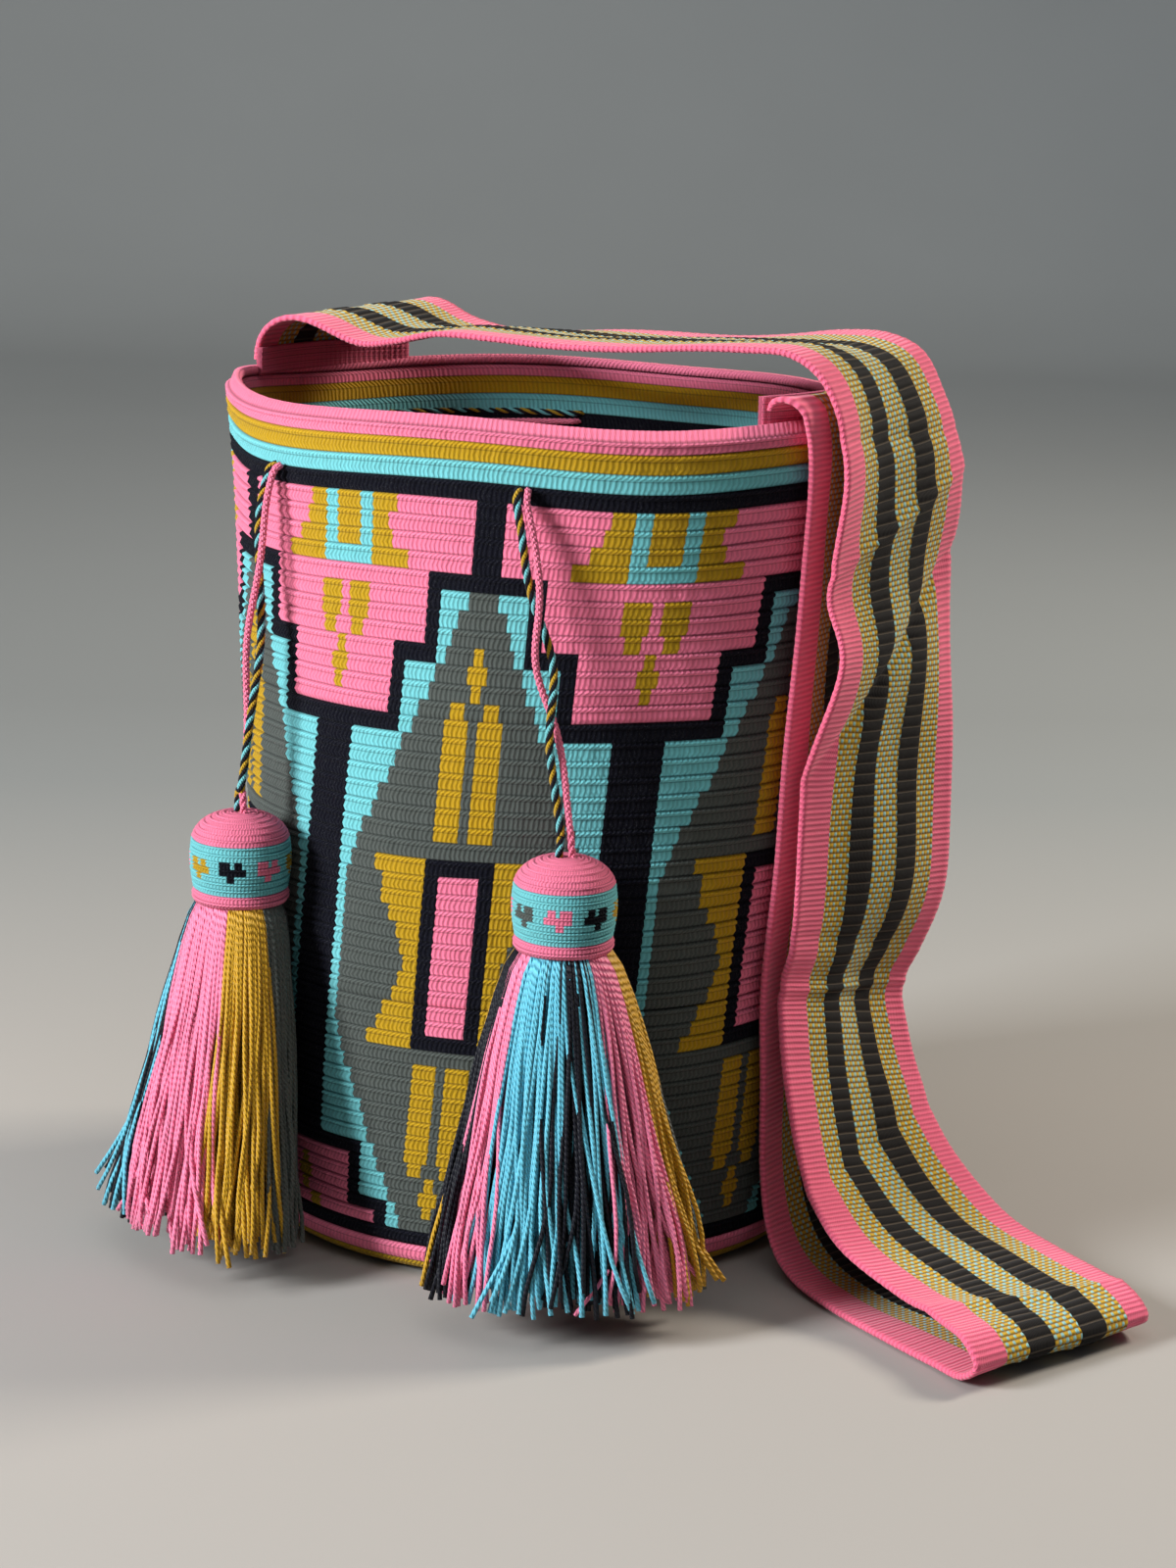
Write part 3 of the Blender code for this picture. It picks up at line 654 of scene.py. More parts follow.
def band_materials():
    out = []
    # ribbed pink edge
    m = Nodes("band_pink")
    u, v = m.uv()
    obj = m.new("ShaderNodeTexCoord").outputs["Object"]
    rgb = lin(244, 104, 138)
    wob = m.math("MULTIPLY", m.noise(obj, 150, 2), 0.8)
    rib = m.math("SINE", m.math("ADD", m.math("MULTIPLY", v, math.tau / 1.95), wob))
    half = m.math("ADD", m.math("MULTIPLY", rib, 0.5), 0.5)
    warp = m.math("SINE", m.math("MULTIPLY", m.math("ADD", m.math("MULTIPLY", u, 1.2), m.math("MULTIPLY", v, 0.5)), math.tau))
    fib = m.noise(obj, 2200, 3, 0.7)
    # painted shade in the troughs between the ribs, lighter on their crests
    col = m.mix(half, tone(rgb, 0.74), tone(rgb, 1.08))
    col = m.mix(m.math("MULTIPLY", fib, 0.35), col, tone(rgb, 0.75))
    col = m.mix(m.math("MULTIPLY", m.math("GREATER_THAN", fib, 0.62), 0.18), col, tuple(0.5 * c + 0.42 for c in rgb))
    m.link(col, m.bsdf.inputs["Base Color"])
    n = m.bump(half, 0.7, 0.0006)
    n = m.bump(warp, 0.3, 0.0002, n)
    n = m.bump(fib, 0.4, 0.0003, n)
    m.link(n, m.bsdf.inputs["Normal"])
    out.append(m.finish(0.85, 0.2))
    # mustard ground with small pale turquoise floats, staggered; bluer in the middle stripe
    for label, more in (("band_check", 0.42), ("band_check_blue", 0.20)):
        m = Nodes(label)
        u, v = m.uv()
        obj = m.new("ShaderNodeTexCoord").outputs["Object"]
        su = m.math("SINE", m.math("MULTIPLY", u, math.tau / 3.1))
        sv = m.math("SINE", m.math("MULTIPLY", v, math.tau / 3.9))
        wide = m.math("ADD", m.math("MULTIPLY", m.noise(obj, 300, 1), 0.5), more - 0.25)
        on = m.math("GREATER_THAN", m.math("MULTIPLY", su, sv), wide)
        rows = m.math("ABSOLUTE", m.math("SINE", m.math("MULTIPLY", v, math.pi / 1.95)))
        cols_ = m.math("ABSOLUTE", m.math("SINE", m.math("MULTIPLY", u, math.pi / 1.55)))
        fib = m.noise(obj, 2400, 3, 0.7)
        # painted shade: darker mustard and turquoise in the troughs between the rows of ribs, lighter on their crests
        must = m.mix(rows, lin(112, 82, 6), lin(212, 168, 16))
        turq = m.mix(rows, lin(96, 136, 136), lin(150, 208, 210))
        col = m.mix(on, must, turq)
        col = m.mix(m.math("MULTIPLY", fib, 0.22), col, lin(84, 62, 12))
        m.link(col, m.bsdf.inputs["Base Color"])
        n = m.bump(rows, 0.8, 0.0005)
        n = m.bump(cols_, 0.5, 0.0003, n)
        n = m.bump(fib, 0.3, 0.0002, n)
        m.link(n, m.bsdf.inputs["Normal"])
        out.append(m.finish(0.8, 0.15))
    # black ribs with a thin grey-brown line between them
    m = Nodes("band_black")
    u, v = m.uv()
    obj = m.new("ShaderNodeTexCoord").outputs["Object"]
    ph = m.math("FRACT", m.math("DIVIDE", m.math("ADD", v, m.math("MULTIPLY", m.noise(obj, 90, 1), 0.5)), 3.9))
    hump = m.math("ABSOLUTE", m.math("SINE", m.math("MULTIPLY", ph, math.pi)))
    line = m.math("LESS_THAN", hump, 0.26)
    yarn = m.math("SINE", m.math("MULTIPLY", m.math("ADD", m.math("MULTIPLY", u, 1.6), m.math("MULTIPLY", v, 0.25)), math.tau))
    fib = m.noise(obj, 2200, 3, 0.7)
    dark = m.mix(m.math("MULTIPLY", fib, 0.6), lin(6, 6, 8), lin(36, 32, 31))
    col = m.mix(m.math("MULTIPLY", line, 0.6), dark, lin(92, 82, 70))
    m.link(col, m.bsdf.inputs["Base Color"])
    n = m.bump(hump, 0.8, 0.0008)
    n = m.bump(yarn, 0.35, 0.0002, n)
    n = m.bump(fib, 0.3, 0.0002, n)
    m.link(n, m.bsdf.inputs["Normal"])
    out.append(m.finish(0.8, 0.03, (1, 1, 1), 0.15))
    return [out[0], out[1], out[3], out[2]]


def band():
    six = BAND_ROUTE.reshape(-1, 6)
    dense = catmull(six, 40)
    mid = (dense[:, :3] + dense[:, 3:]) / 2
    at = np.arange(len(dense))[:, None] / 40.0
    both, length = resample(np.hstack([mid, dense, at]), step=0.0013)
    rc = both[:, 9]
    near, far = both[:, 3:6], both[:, 6:9]
    m = len(near)
    s = np.linspace(0, length, m)
    K = 40
    w = np.linspace(0, 1, K + 1)
    P = near[:, None] * (1 - w[None, :, None]) + far[:, None] * w[None, :, None]
    # the sewn ends follow their joins' curve
    for ids, span in ((np.arange(0, 24), JOIN_LEFT), (np.arange(m - 1, m - 12, -1), JOIN_RIGHT)):
        k = 1 - smooth(0, 1, np.arange(len(ids)) / (len(ids) - 1))
        deg = span[0] + (span[1] - span[0]) * w
        r = wall_radius(deg, RIM_TOP) + 0.0003
        for j, i in enumerate(ids):
            goal = polar(deg, r, JOIN_TOP - 0.001 + j * 0.0007)
            P[i] = P[i] * (1 - k[j]) + goal * k[j]
    tan = np.gradient(P, axis=0)
    acr = np.gradient(P, axis=1)
    nor = np.cross(acr, tan)
    nor /= np.linalg.norm(nor, axis=2)[..., None] + 1e-12
    # soft buckling of the cloth, growing in the hanging and lying stretches
    S, W = s[:, None], w[None, :]
    free = smooth(0.02, 0.06, S) * smooth(0.02, 0.05, length - S)
    ripple = (0.0012 * np.sin(S / 0.021 + 5.0 * W) * np.sin(math.pi * W) ** 1.0
              + 0.0009 * np.sin(S / 0.013 + 2.1 - 7.0 * W) * (0.4 + 0.6 * W)
              + 0.0012 * np.sin(math.tau * W + S / 0.05))
    ripple = ripple * 0.6
    # folds pressed into the cloth: (place, its slant across, depth, sharpness)
    for c0, c1, deep, sharp in ((20.1, -2.3, 0.0030, 0.16), (17.6, -1.2, -0.0024, 0.16), (23.05, -0.1, -0.0022, 0.16),
                                (26.3, -0.9, 0.0020, 0.22), (28.6, 0.9, -0.0022, 0.22), (15.3, 0.5, 0.0014, 0.2),
                                (21.8, 0.3, 0.0010, 0.2)):
        ripple = ripple + deep * (0.45 + 0.55 * np.sin(math.pi * W)) * np.exp(-np.abs((rc[:, None] - c0 - c1 * W) / sharp) ** 1.3)
    P = P + nor * (ripple * free)[..., None]
    edge = np.minimum(W, 1 - W) * 76.0                        # mm from the nearer edge
    half = 0.00075 + 0.00050 * np.exp(-((edge - 0.8) / 0.9) ** 2)
    zone = np.clip(np.searchsorted(BAND_CUTS, (w[:-1] + w[1:]) / 2) - 1, 0, 6)
    zmat = np.array([0, 1, 2, 3, 2, 1, 0])[zone]
    vm = S * 1000.0
    black = np.isin(np.r_[zmat, zmat[-1]], [2])[None, :]
    pinkz = np.isin(np.r_[zmat, zmat[-1]], [0])[None, :]
    rib = np.abs(np.sin(math.pi * vm / 3.9)) * 0.00055 * black + (0.5 + 0.5 * np.sin(math.tau * vm / 3.9)) * 0.00018 * pinkz
    topP = P + nor * (half + rib)[..., None]
    lowP = P - nor * (half + rib)[..., None]
    edge_in = P[:, :1] + (P[:, :1] - P[:, 1:2]) * 0.35
    edge_out = P[:, -1:] + (P[:, -1:] - P[:, -2:-1]) * 0.35
    loop = np.concatenate([topP, edge_out, lowP[:, ::-1], edge_in], 1)        # round the section
    Um = np.concatenate([w * 76, [77.0], w[::-1] * 76, [-1.0]])
    n = loop.shape[1]
    loop[..., 2] = np.maximum(loop[..., 2], 0.0002)
    idx = np.concatenate([zmat, [0, 0], zmat[::-1], [0, 0]])
    idx = np.broadcast_to(idx, (m - 1, n))
    U = np.broadcast_to(Um, (m, n)).copy()
    V = np.broadcast_to(vm, (m, n)).copy()
    # the section runs along u, the closed direction
    return loop, U, V, idx, length


loop, U, V, idx, band_length = band()


def closed_loft(name, P, U, V, idx, mats, body, node):
    """P (stations, section, 3): section closed, ends capped."""
    m, n = P.shape[:2]
    ob = grid_mesh(name, P, U, V, idx, mats, body, node, close_u=True)
    import bmesh
    bm = bmesh.new()
    bm.from_mesh(ob.data)
    bm.verts.ensure_lookup_table()
    for row in (range(0, n), range((m - 1) * n, m * n)):
        vs = [bm.verts[i] for i in row]
        h = n // 2
        for k in range(h - 1):
            a_, b_, c_, d_ = vs[k], vs[k + 1], vs[n - 2 - k], vs[(n - 1 - k) % n]
            if len({a_, b_, c_, d_}) == 4:
                try:
                    bm.faces.new((a_, b_, c_, d_))
                except ValueError:
                    pass
    bmesh.ops.recalc_face_normals(bm, faces=bm.faces)
    bm.to_mesh(ob.data)
    bm.free()
    ob.data.polygons.foreach_set("use_smooth", np.ones(len(ob.data.polygons), bool))
    return ob


strap = closed_loft("strap_band_cloth", loop, U, V, idx, band_materials(), "bag", "strap_band")


def join(name, span, node):
    """Crocheted strip on the rim: three rows of stitches, both faces and its top."""
    degs = np.linspace(span[0] - np.sign(span[1] - span[0]) * 1.0, span[1] + np.sign(span[1] - span[0]) * 1.0, 140)
    sec = []
    low, top = RIM_TOP - 0.0025, JOIN_TOP + 0.0035
    for side in (1, -1):
        zz = np.linspace(low, top, 13) if side == 1 else np.linspace(top, low, 13)
        for q in zz:
            t = ((q - low) / 0.0036) % 1.0
            sec.append((side * (0.0013 + 0.8 * float(row_relief(1 - t))), q))
    sec = np.array(sec)
    P, U, V = [], [], []
    for i, d in enumerate(degs):
        r = wall_radius(d, RIM_TOP) - 0.0016
        taper = 1 - 0.5 * np.exp(-min(i, len(degs) - 1 - i) / 3.0)
        bump = 1 + 0.10 * np.sin(i * 1.57)
        P.append(polar(np.full(len(sec), d), r + sec[:, 0] * taper * bump, sec[:, 1]))
        U.append(np.full(len(sec), i * 0.5))
        V.append(np.arange(len(sec)) * 0.33)
    P, U, V = np.array(P), np.array(U), np.array(V)
    return closed_loft(name, P, U, V, 0, [crochet_material(name + "_yarn", lin(240, 110, 142))],
                       "bag", node)


join("strap_join_left_crochet", JOIN_LEFT, "strap_join_left")
join("strap_join_right_crochet", JOIN_RIGHT, "strap_join_right")


# ------------------------------------------------------------------ the cords
cord_mats = {k: strand_material("cord_" + YARN[k][0], YARN[k][1], ply=40.0, rough=0.75) for k in range(5)}


def rope(name, path, colours, radius, pitch, body, node, sides=6, strand=None, spin=0.0):
    """Strands twisted round a path into one cord."""
    path, length = resample(np.asarray(path), step=0.0009)
    t, n, b = frames(path)
    s = np.linspace(0, length, len(path))
    k = len(colours)
    strand = strand or radius * 0.52
    off = radius - strand
    verts, faces, mats, uvs = [], [], [], []
    palette = sorted(set(colours))
    for j, c in enumerate(colours):
        ph = math.tau * (s / pitch + j / k) + spin
        centre = path + off * (np.cos(ph)[:, None] * n + np.sin(ph)[:, None] * b)
        tt, nn, bb = frames(centre)
        ring = np.arange(sides) * math.tau / sides
        pts = centre[:, None] + strand * (np.cos(ring)[None, :, None] * nn[:, None] + np.sin(ring)[None, :, None] * bb[:, None])
        base_i = sum(len(v) for v in verts)
        verts.append(pts.reshape(-1, 3))
        m = len(path)
        R, C = np.meshgrid(np.arange(m - 1), np.arange(sides), indexing="ij")
        C2 = (C + 1) % sides
        q = np.stack([R * sides + C, R * sides + C2, (R + 1) * sides + C2, (R + 1) * sides + C], -1).reshape(-1, 4) + base_i
        faces.append(q)
        mats.append(np.full(len(q), palette.index(c)))
        u0, u1 = C / sides, (C + 1) / sides
        v0, v1 = s[R] * 30, s[R + 1] * 30
        uvs.append(np.stack([u0, v0, u1, v0, u1, v1, u0, v1], -1).reshape(-1, 8))
        faces.append(np.array([[base_i + i for i in (0, 1, 2, 3)]])[:0])
    me = bpy.data.meshes.new(name)
    V_ = np.vstack(verts)
    quads = np.vstack([f for f in faces if len(f)])
    ends = []
    m = len(path)
    for j in range(k):
        o = j * m * sides
        ends.append(list(range(o, o + sides))[::-1])
        ends.append(list(range(o + (m - 1) * sides, o + m * sides)))
    me.from_pydata(V_.tolist(), [], quads.tolist() + ends)
    for c in palette:
        me.materials.append(cord_mats[c])
    mi = np.concatenate(mats + [np.repeat([palette.index(c) for c in colours], 2)])
    me.polygons.foreach_set("material_index", mi.astype(np.int32))
    me.polygons.foreach_set("use_smooth", np.ones(len(me.polygons), bool))
    layer = me.uv_layers.new(name="yarn")
    uv = np.concatenate([np.vstack(uvs).reshape(-1), np.zeros(len(ends) * sides * 2)])
    layer.data.foreach_set("uv", uv.astype(np.float32))
    me.update()
    ob = bpy.data.objects.new(name, me)
    scene.collection.objects.link(ob)
    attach(ob, body)
    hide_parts(node)
    return ob, path, length


def threading(deg):
    d = deg % 360.0
    marks = (29.0, 86.0, 112.0, 155.0, 205.0, 248.0, 274.0, 335.0)
    side = value = -1.0
    for mk in marks[1:-1]:
        if d > mk - 3:
            value = side - 2 * side * float(smooth(mk - 3, mk + 3, d))
        if d > mk + 3:
            side = -side
            value = side
    for mk in (marks[0], marks[-1]):
        value *= 1 - (1 - float(smooth(0.0, 3.0, abs(d - mk))))
    return value


EXIT = {"left": -25.0, "right": 29.0}
HANG = {"left": -23.0, "right": 37.0}
TASSEL_R, CAP_TOP, CAP_BOTTOM, CAP_R, PIVOT_GAP = 0.1245, 0.1640, 0.1290, 0.0170, 0.0018


def mouth_path(turn):
    pts = []
    for i in range(1300):
        deg = EXIT["right"] + 0.3 + (360 + EXIT["left"] - EXIT["right"] - 0.6) * i / 1299
        sd = threading(deg)
        r = wall_radius(deg, EYELET_Z) - WALL / 2 + sd * (WALL / 2 + 0.00125 + 0.0011)
        ang = turn + deg * 0.09
        pts.append(polar(deg, r + 0.0006 * math.sin(ang) * abs(sd), EYELET_Z + 0.0016 * math.cos(turn) + 0.0004 * math.sin(ang)))
    return pts


MULTI = [NAVY, TURQ, NAVY, MUSTARD]
rope("drawstring_mixed_yarn", mouth_path(0.0), MULTI, 0.00125, 0.0105, "bag", "drawstring_multicolour", strand=0.00062)
rope("drawstring_pink_yarn", mouth_path(math.pi), [PINK, PINK, PINK], 0.00125, 0.0060, "bag", "drawstring_pink", strand=0.00066)

for side in ("left", "right"):
    ea, ta = EXIT[side], HANG[side]
    r = float(wall_radius(ea, EYELET_Z))
    out = np.array([math.sin(ea * D2R), -math.cos(ea * D2R), 0.0])
    along = np.array([math.cos(ea * D2R), math.sin(ea * D2R), 0.0])
    t_along = np.array([math.cos(ta * D2R), math.sin(ta * D2R), 0.0])
    top = polar(ea, r, EYELET_Z)
    foot = polar(ta, TASSEL_R, CAP_TOP + PIVOT_GAP)
    for kind, sgn, colours, pitch_ in (("multicolour", -1.0, MULTI, 0.0105), ("pink", 1.0, [PINK, PINK, PINK], 0.0060)):
        a_top, a_foot, bow = along * 0.0016 * sgn, t_along * 0.0016 * sgn, t_along * 0.0030 * sgn
        up = np.array([0, 0, 1.0])
        pts = [top + out * 0.0010 + a_top, top + out * 0.0032 - up * 0.0008 + a_top,
               top + out * 0.0050 - up * 0.0045 + a_top,
               top * 0.86 + foot * 0.14 + out * 0.0052 + a_top,
               top * 0.65 + foot * 0.35 + out * 0.0035 + a_top + bow,
               top * 0.40 + foot * 0.60 + out * 0.0018 + a_top + bow,
               top * 0.15 + foot * 0.85 + a_foot + bow * 0.3, foot + a_foot]
        dense = catmull(pts, 24)
        dense, ln = resample(dense, step=0.0009)
        # the two cords cross over one another on the way down
        mate = np.array([top + out * 0.0010, top + out * 0.0032 - up * 0.0008, top + out * 0.0050 - up * 0.0045,
                         top * 0.86 + foot * 0.14 + out * 0.0052, top * 0.65 + foot * 0.35 + out * 0.0035,
                         top * 0.40 + foot * 0.60 + out * 0.0018, top * 0.15 + foot * 0.85, foot])
        mid_, _ = resample(catmull(mate, 24), count=len(dense))
        q = np.linspace(0, 1, len(dense))
        th = (1.0 if side == "right" else 0.6) * math.tau * smooth(0.12, 0.92, q)
        gap = 0.0016 + 0.0012 * np.sin(math.pi * q) ** 2
        route = mid_ + gap[:, None] * sgn * (np.cos(th)[:, None] * t_along + np.sin(th)[:, None] * (out * 0.8))
        route[:1] = dense[:1]
        route[-1:] = dense[-1:]
        node = f"{side}_cord_{kind}"
        ob, used, ln = rope(f"{side}_cord_{kind}_yarn", route, colours, 0.00150 if kind == "multicolour" else 0.00135, pitch_, f"{side}_cord", node,
                            strand=0.00075 if kind == "multicolour" else 0.00072)


# ------------------------------------------------------------------ the tassels
TASSEL_RGB = {**{k: YARN[k][1] for k in YARN}, TURQ: lin(98, 190, 214), PINK: lin(248, 128, 164), MUSTARD: lin(196, 148, 12)}
strand_mats = [strand_material("yarn_" + YARN[k][0], TASSEL_RGB[k], ply=14.0, rough=0.55) for k in range(5)]
SKIRT = np.array((
    (0.1320, 0.0122, 0.0122, 0.0), (0.1268, 0.0166, 0.0146, 0.0004), (0.1180, 0.0208, 0.0166, 0.0016),
    (0.0950, 0.0280, 0.0192, 0.0042), (0.0650, 0.0355, 0.0225, 0.0080), (0.0350, 0.0435, 0.0262, 0.0117),
    (0.0100, 0.0485, 0.0287, 0.0142)))
CAP_ROWS = 17


def sector(bands, psi, rng):
    psi = (psi + 180) % 360 - 180
    for lo, hi, mix in bands:
        if lo <= psi < hi:
            return mix[rng.integers(len(mix))]
    return bands[-1][2][0]


BANDS = {
    "right": [(-180, -100, [GREY, NAVY, MUSTARD]), (-100, -74, [NAVY]), (-74, -46, [PINK, PINK, PINK, PINK, NAVY]),
              (-46, -4, [TURQ] * 9 + [NAVY]), (-4, 28, [NAVY, NAVY, NAVY, TURQ]), (28, 60, [PINK]),
              (60, 92, [MUSTARD]), (90, 125, [GREY]), (125, 180, [GREY, NAVY])],
    "left": [(-180, -60, [TURQ, NAVY]), (-60, -14, [NAVY, TURQ, NAVY]), (-14, 44, [PINK]), (44, 92, [MUSTARD]),
             (92, 140, [GREY]), (140, 180, [GREY, NAVY])],
}


def skirt(side, lean, seed):
    rng = np.random.default_rng(seed)
    ta = HANG[side]
    out = np.array([math.sin(ta * D2R), -math.cos(ta * D2R), 0.0])
    along = np.array([math.cos(ta * D2R), math.sin(ta * D2R), 0.0])
    axis = np.array(polar(ta, TASSEL_R, 0.0))
    n, segs, sides = 560, 14, 5
    rad = 0.00088
    verts, faces, mi, uvs = [], [], [], []
    ring = np.arange(sides) * math.tau / sides
    for i in range(n):
        psi = (i * 137.508) % 360 - 180
        rho = math.sqrt(rng.uniform(0.12, 1.0)) if i % 3 else 1.0
        end = 0.0125 + abs(rng.normal(0, 0.0040)) + 0.004 * (1 - rho)
        start = 0.1320
        q = np.linspace(0, 1, segs)
        z = start + (end - start) * q ** 0.95
        A = np.interp(z[::-1], SKIRT[::-1, 0], SKIRT[::-1, 1])[::-1]
        B = np.interp(z[::-1], SKIRT[::-1, 0], SKIRT[::-1, 2])[::-1]
        Sh = np.interp(z[::-1], SKIRT[::-1, 0], SKIRT[::-1, 3])[::-1]
        ang = psi * D2R + rng.normal(0, 0.03) + 0.15 * (q ** 1.5) * rng.normal(0, 1)
        rr = rho * (1 - 0.10 * q * rng.uniform(0, 1)) - 0.001 / 0.02 * 0
        x = A * rr * np.sin(ang) + lean * (0.1268 - np.minimum(z, 0.1268)) / 0.1168
        y = Sh + B * rr * np.cos(ang)
        w1, w2 = rng.uniform(0, math.tau, 2)
        amp = (0.0012 + 0.0016 * rng.uniform() ** 2) * q ** 1.2
        x = x + amp * np.sin(q * rng.uniform(5, 11) + w1)
        y = y + amp * 0.7 * np.sin(q * rng.uniform(5, 11) + w2)
        y = np.maximum(y, Sh - B + 0.0012)
        if rng.uniform() < 0.10 and math.cos(ang[-1]) > -0.2:       # a few stray ends
            kick = 0.006 + 0.010 * rng.uniform()
            x = x - kick * np.maximum(0, q - 0.72) ** 1.5 / 0.15 * (1 if rng.uniform() < 0.7 else -1)
        path = axis + x[:, None] * along + y[:, None] * out + np.array([0, 0, 1.0]) * z[:, None]
        t, nn, bb = frames(path)
        rads = rad * (1 - 0.15 * rng.uniform()) * np.where(q > 0.97, 1.12, 1.0)
        pts = path[:, None] + rads[:, None, None] * (np.cos(ring)[None, :, None] * nn[:, None] + np.sin(ring)[None, :, None] * bb[:, None])
        o = i * segs * sides
        verts.append(pts.reshape(-1, 3))
        R, C = np.meshgrid(np.arange(segs - 1), np.arange(sides), indexing="ij")
        C2 = (C + 1) % sides
        q4 = np.stack([R * sides + C, R * sides + C2, (R + 1) * sides + C2, (R + 1) * sides + C], -1).reshape(-1, 4) + o
        faces += q4.tolist()
        faces.append(list(range(o, o + sides))[::-1])
        faces.append(list(range(o + (segs - 1) * sides, o + segs * sides)))
        c = sector(BANDS[side], psi, rng)
        mi += [c] * (len(q4) + 2)
        vv = q * 4.0 + i * 0.37
        u0, u1 = C / sides, (C + 1) / sides
        uvs.append(np.stack([u0, vv[R], u1, vv[R], u1, vv[R + 1], u0, vv[R + 1]], -1).reshape(-1))
        uvs.append(np.zeros(sides * 4))
    me = bpy.data.meshes.new(f"{side}_tassel_yarn")
    me.from_pydata(np.vstack(verts).tolist(), [], faces)
    for mt in strand_mats:
        me.materials.append(mt)
    me.polygons.foreach_set("material_index", np.array(mi, np.int32))
    me.polygons.foreach_set("use_smooth", np.ones(len(faces), bool))
    layer = me.uv_layers.new(name="yarn")
    layer.data.foreach_set("uv", np.concatenate(uvs).astype(np.float32))
    me.update()
    ob = bpy.data.objects.new(f"{side}_tassel_yarn", me)
    scene.collection.objects.link(ob)
    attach(ob, f"{side}_tassel")
    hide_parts(f"{side}_tassel_skirt")
    return ob


MOTIF_TURN = {"right": -11.0, "left": 50.0}
MOTIF_COLOUR = {"right": [PINK, NAVY, MUSTARD, PINK, NAVY, MUSTARD, PINK, GREY],
                "left": [NAVY, PINK, MUSTARD, NAVY, PINK, MUSTARD, PINK, MUSTARD]}


def cap(side):
    """Crocheted cap: pink dome, turquoise band with small tulips, pink ring."""
    ta = HANG[side]
    st, per = 40, 4
    n = st * per
    outline = [(0.0004, 0.0298)]
    for i in range(1, 9):
        g = math.radians(90 - 90 * i / 8)
        outline.append((0.0168 * math.cos(g) ** 0.85, 0.0298 - 0.0105 + 0.0105 * math.sin(g)))
    outline += [(0.0172, 0.0150), (0.0170, 0.0100), (0.0163, 0.0055), (0.0160, 0.0030), (0.0165, 0.0012), (0.0160, -0.0006), (0.0146, -0.0010), (0.0130, 0.0004)]
    prof, L = resample(catmull(np.array(outline), 8), count=400)
    d = np.gradient(prof, axis=0)
    nrm = np.stack([-d[:, 1], d[:, 0]], 1)
    nrm /= np.linalg.norm(nrm, axis=1)[:, None] + 1e-12
    rows = CAP_ROWS + 1
    P, U, V, colour = [], [], [], []
    psi = np.arange(n) * 360.0 / n
    turn = (np.arange(n) // per)
    legs = np.where(np.arange(n) % 2 == 0, -1.0, 1.0)
    for row in range(rows):
        for k, t in enumerate(T_IN_ROW if row < rows - 1 else np.r_[T_IN_ROW, 1.0]):
            s = (row + t) / rows * 399
            r, zz = np.interp(s, np.arange(400), prof[:, 0]), np.interp(s, np.arange(400), prof[:, 1])
            nr = np.interp(s, np.arange(400), nrm[:, 0]), np.interp(s, np.arange(400), nrm[:, 1])
            h = float(row_relief(t)) * 0.75 * min(1.0, r / 0.006)
            hh = h - 0.0003 + (legs * 0.00006 if k == 4 else 0.0)
            if nr[0] < 0 and row < rows - 2:
                hh = -hh
            hh = np.broadcast_to(hh, n)
            rr = np.maximum(r + nr[0] * hh, 0.0003)
            pr = (ta + psi) * D2R
            centre = polar(ta, TASSEL_R, CAP_BOTTOM)
            P.append(np.stack([centre[0] + rr * np.sin(pr), centre[1] - rr * np.cos(pr),
                               centre[2] + zz + nr[1] * hh], -1))
            U.append(np.arange(n) / per)
            V.append(np.full(n, row + t + 5.0))
        if row < 8:
            c = np.full(n, PINK)
        elif row < 15:
            c = np.full(n, TURQ)
            if 10 <= row <= 12:
                at = (np.arange(n) // 2 + 0.5) * 4.5 - MOTIF_TURN[side] + 22.5
                k = np.abs(at % 45.0 - 22.5) / 9.0
                on = {10: (k > 0.25) & (k < 1.5), 11: k < 1.75, 12: k < 0.5}[row]
                mc = np.array(MOTIF_COLOUR[side])[(at // 45).astype(int) % 8]
                c = np.where(on, mc, c)
        else:
            c = np.full(n, PINK)
        colour += [c] * 5
    P, U, V = np.array(P), np.array(U), np.array(V)
    return grid_mesh(f"{side}_cap_crochet", P, U, V, np.array(colour), crochet, f"{side}_tassel",
                     f"{side}_tassel_cap", close_u=True)


def neck(side):
    """The ends of the two cords where they run into the cap's crown."""
    ta = HANG[side]
    side_by = np.array([math.cos(ta * D2R), math.sin(ta * D2R), 0.0])
    for kind, sgn, colours in (("mixed", -1.0, MULTI), ("pink", 1.0, [PINK, PINK, PINK])):
        path = [polar(ta, TASSEL_R, zz) + side_by * 0.0016 * sgn * k for zz, k in ((0.1565, 1.5), (0.1600, 1.3), (0.1635, 1.1), (0.1657, 1.0))]
        rope(f"{side}_cap_{kind}_ends", catmull(np.array(path), 8), colours, 0.0014, 0.009, f"{side}_tassel",
             f"{side}_tassel_cap", strand=0.0007)


neck("left")
neck("right")
skirt("left", -0.002, 5)
skirt("right", 0.003, 8)
cap("left")
cap("right")

# ------------------------------------------------------------------ the stage
away = Vector((-math.sin(a), math.cos(a), 0))
m = Nodes("studio_sweep")
u, v = m.uv()
obj = m.new("ShaderNodeTexCoord").outputs["Object"]
low = m.math("DIVIDE", m.math("SUBTRACT", v, 0.12), 0.55, clamp=True)
high = m.math("DIVIDE", m.math("SUBTRACT", v, 0.9), 2.6, clamp=True)
col = m.mix(low, lin(164, 160, 156), lin(142, 145, 145))
col = m.mix(high, col, lin(206, 210, 210))
m.link(m.mix(m.math("MULTIPLY", m.noise(obj, 3.0, 2), 0.12), col, lin(140, 138, 134)), m.bsdf.inputs["Base Color"])
m.link(m.bump(m.noise(obj, 260, 2), 0.05, 0.0005), m.bsdf.inputs["Normal"])
sweep_mat = m.finish(0.75, 0.0)
line = [(-6.0, 0.0)] + [(x, 0.0) for x in np.linspace(-5.0, 3.0, 25)]
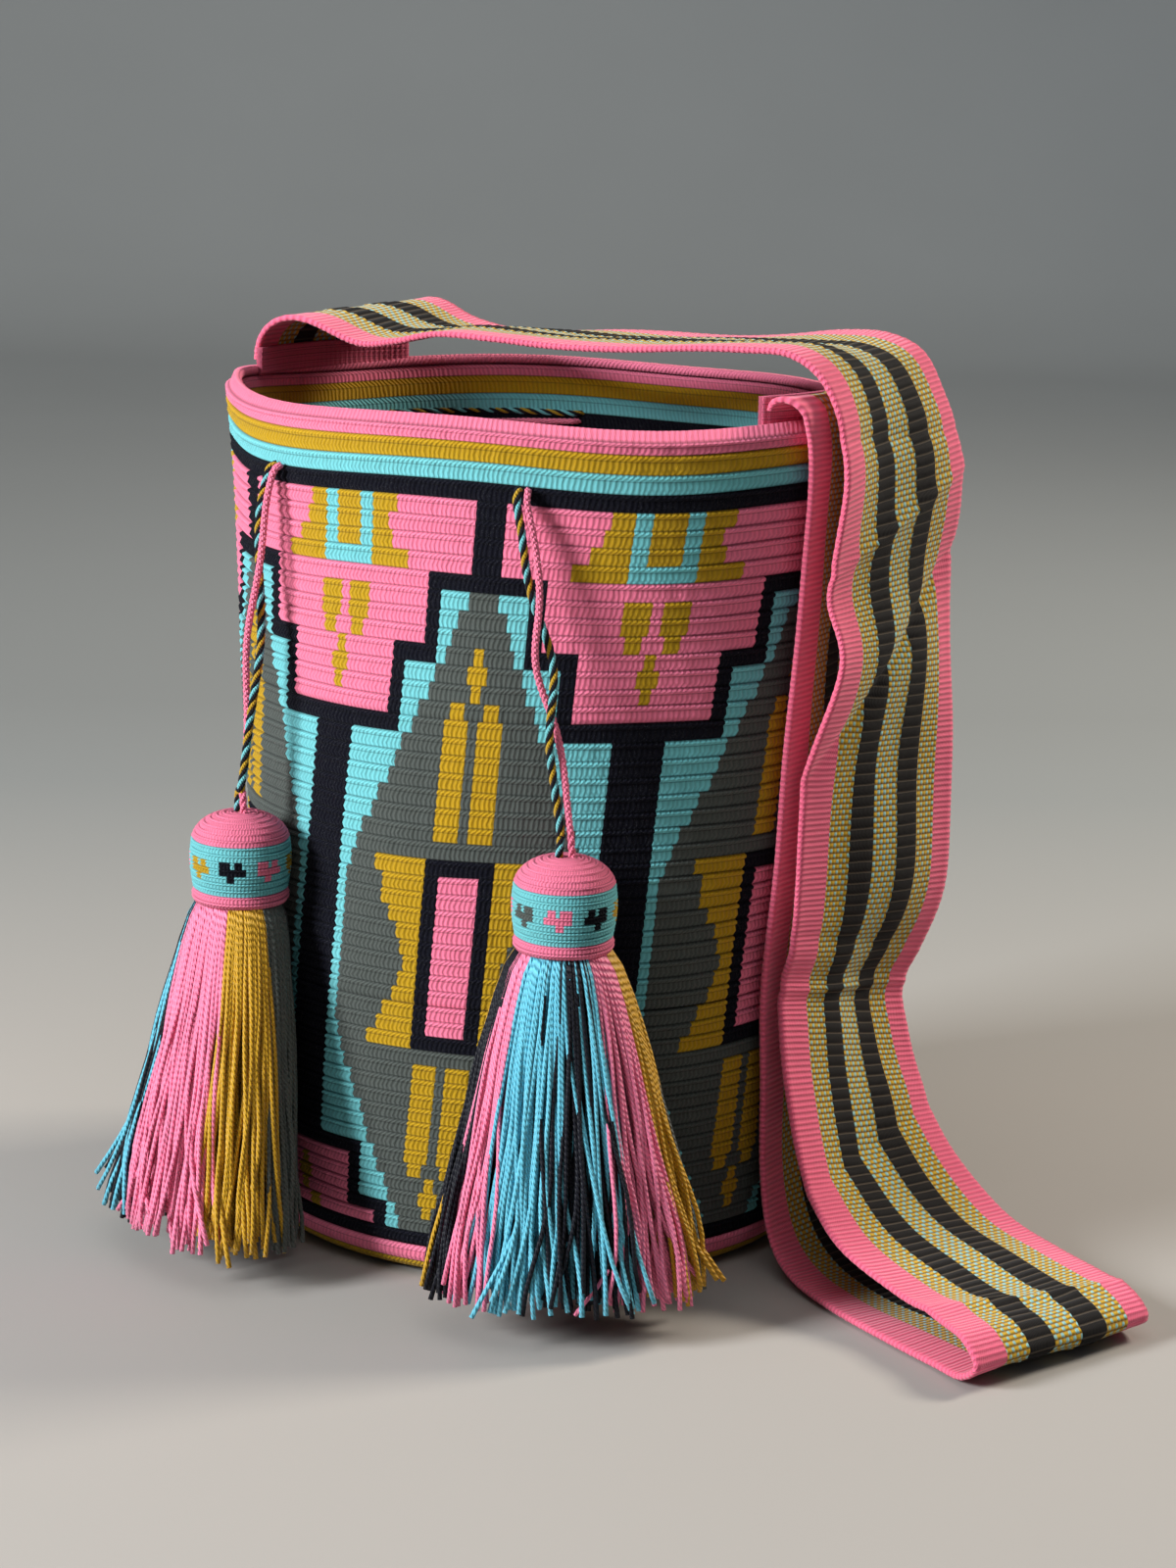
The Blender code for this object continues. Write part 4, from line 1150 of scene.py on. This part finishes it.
line += [(3.0 + 1.5 * math.sin(g), 1.5 - 1.5 * math.cos(g)) for g in np.linspace(0.06, math.pi / 2, 26)]
line += [(4.5, zz) for zz in np.linspace(1.7, 5.0, 12)]
line = np.array(line)
wide = np.linspace(-6.0, 6.0, 9)
side_v = np.array([math.cos(a), math.sin(a), 0.0])
SP = (line[:, None, 0:1] * np.array(away)[None, None, :] + wide[None, :, None] * side_v[None, None, :]
      + line[:, None, 1:2] * np.array([0, 0, 1.0])[None, None, :])
SP[..., 2] -= 0.0002
SP = SP[:, ::-1]
run = np.r_[0, np.cumsum(np.linalg.norm(np.diff(line, axis=0), axis=1))]
run = run - np.interp(0.0, line[:26, 0], run[:26])
me = bpy.data.meshes.new("studio_sweep")
mm, nn_ = SP.shape[:2]
me.from_pydata(SP.reshape(-1, 3).tolist(), [], [(r * nn_ + c, r * nn_ + c + 1, (r + 1) * nn_ + c + 1, (r + 1) * nn_ + c)
                                               for r in range(mm - 1) for c in range(nn_ - 1)])
layer = me.uv_layers.new(name="yarn")
for lp in me.loops:
    layer.data[lp.index].uv = (wide[lp.vertex_index % nn_], run[lp.vertex_index // nn_])
me.materials.append(sweep_mat)
me.polygons.foreach_set("use_smooth", np.ones(len(me.polygons), bool))
me.update()
sweep = bpy.data.objects.new("studio_sweep", me)
scene.collection.objects.link(sweep)


def area(name, loc, target, size, power, colour):
    li = bpy.data.lights.new(name, "AREA")
    li.shape = "RECTANGLE"
    li.size, li.size_y = size
    li.energy = power
    li.color = colour
    ob = bpy.data.objects.new(name, li)
    ob.location = loc
    d = Vector(target) - Vector(loc)
    ob.rotation_euler = d.to_track_quat("-Z", "Y").to_euler()
    scene.collection.objects.link(ob)
    return ob


right = Vector((math.cos(a), math.sin(a), 0))
front = -away
up = Vector((0, 0, 1))
area("key_left", front * 0.95 - right * 1.75 + up * 1.0, (0, 0, 0.15), (0.6, 0.6), 76, (0.95, 0.98, 1.0))
area("warm_right", away * 0.55 + right * 1.5 + up * 1.35, (0.05, 0, 0.1), (0.5, 0.5), 36, (1.0, 0.91, 0.78))
area("top_soft", front * 0.5 + up * 2.2, (0, 0, 0), (1.8, 1.8), 12, (1.0, 0.99, 0.97))
world = bpy.data.worlds.new("studio")
world.use_nodes = True
world.node_tree.nodes["Background"].inputs[0].default_value = (0.85, 0.87, 0.9, 1)
world.node_tree.nodes["Background"].inputs[1].default_value = 0.14
scene.world = world
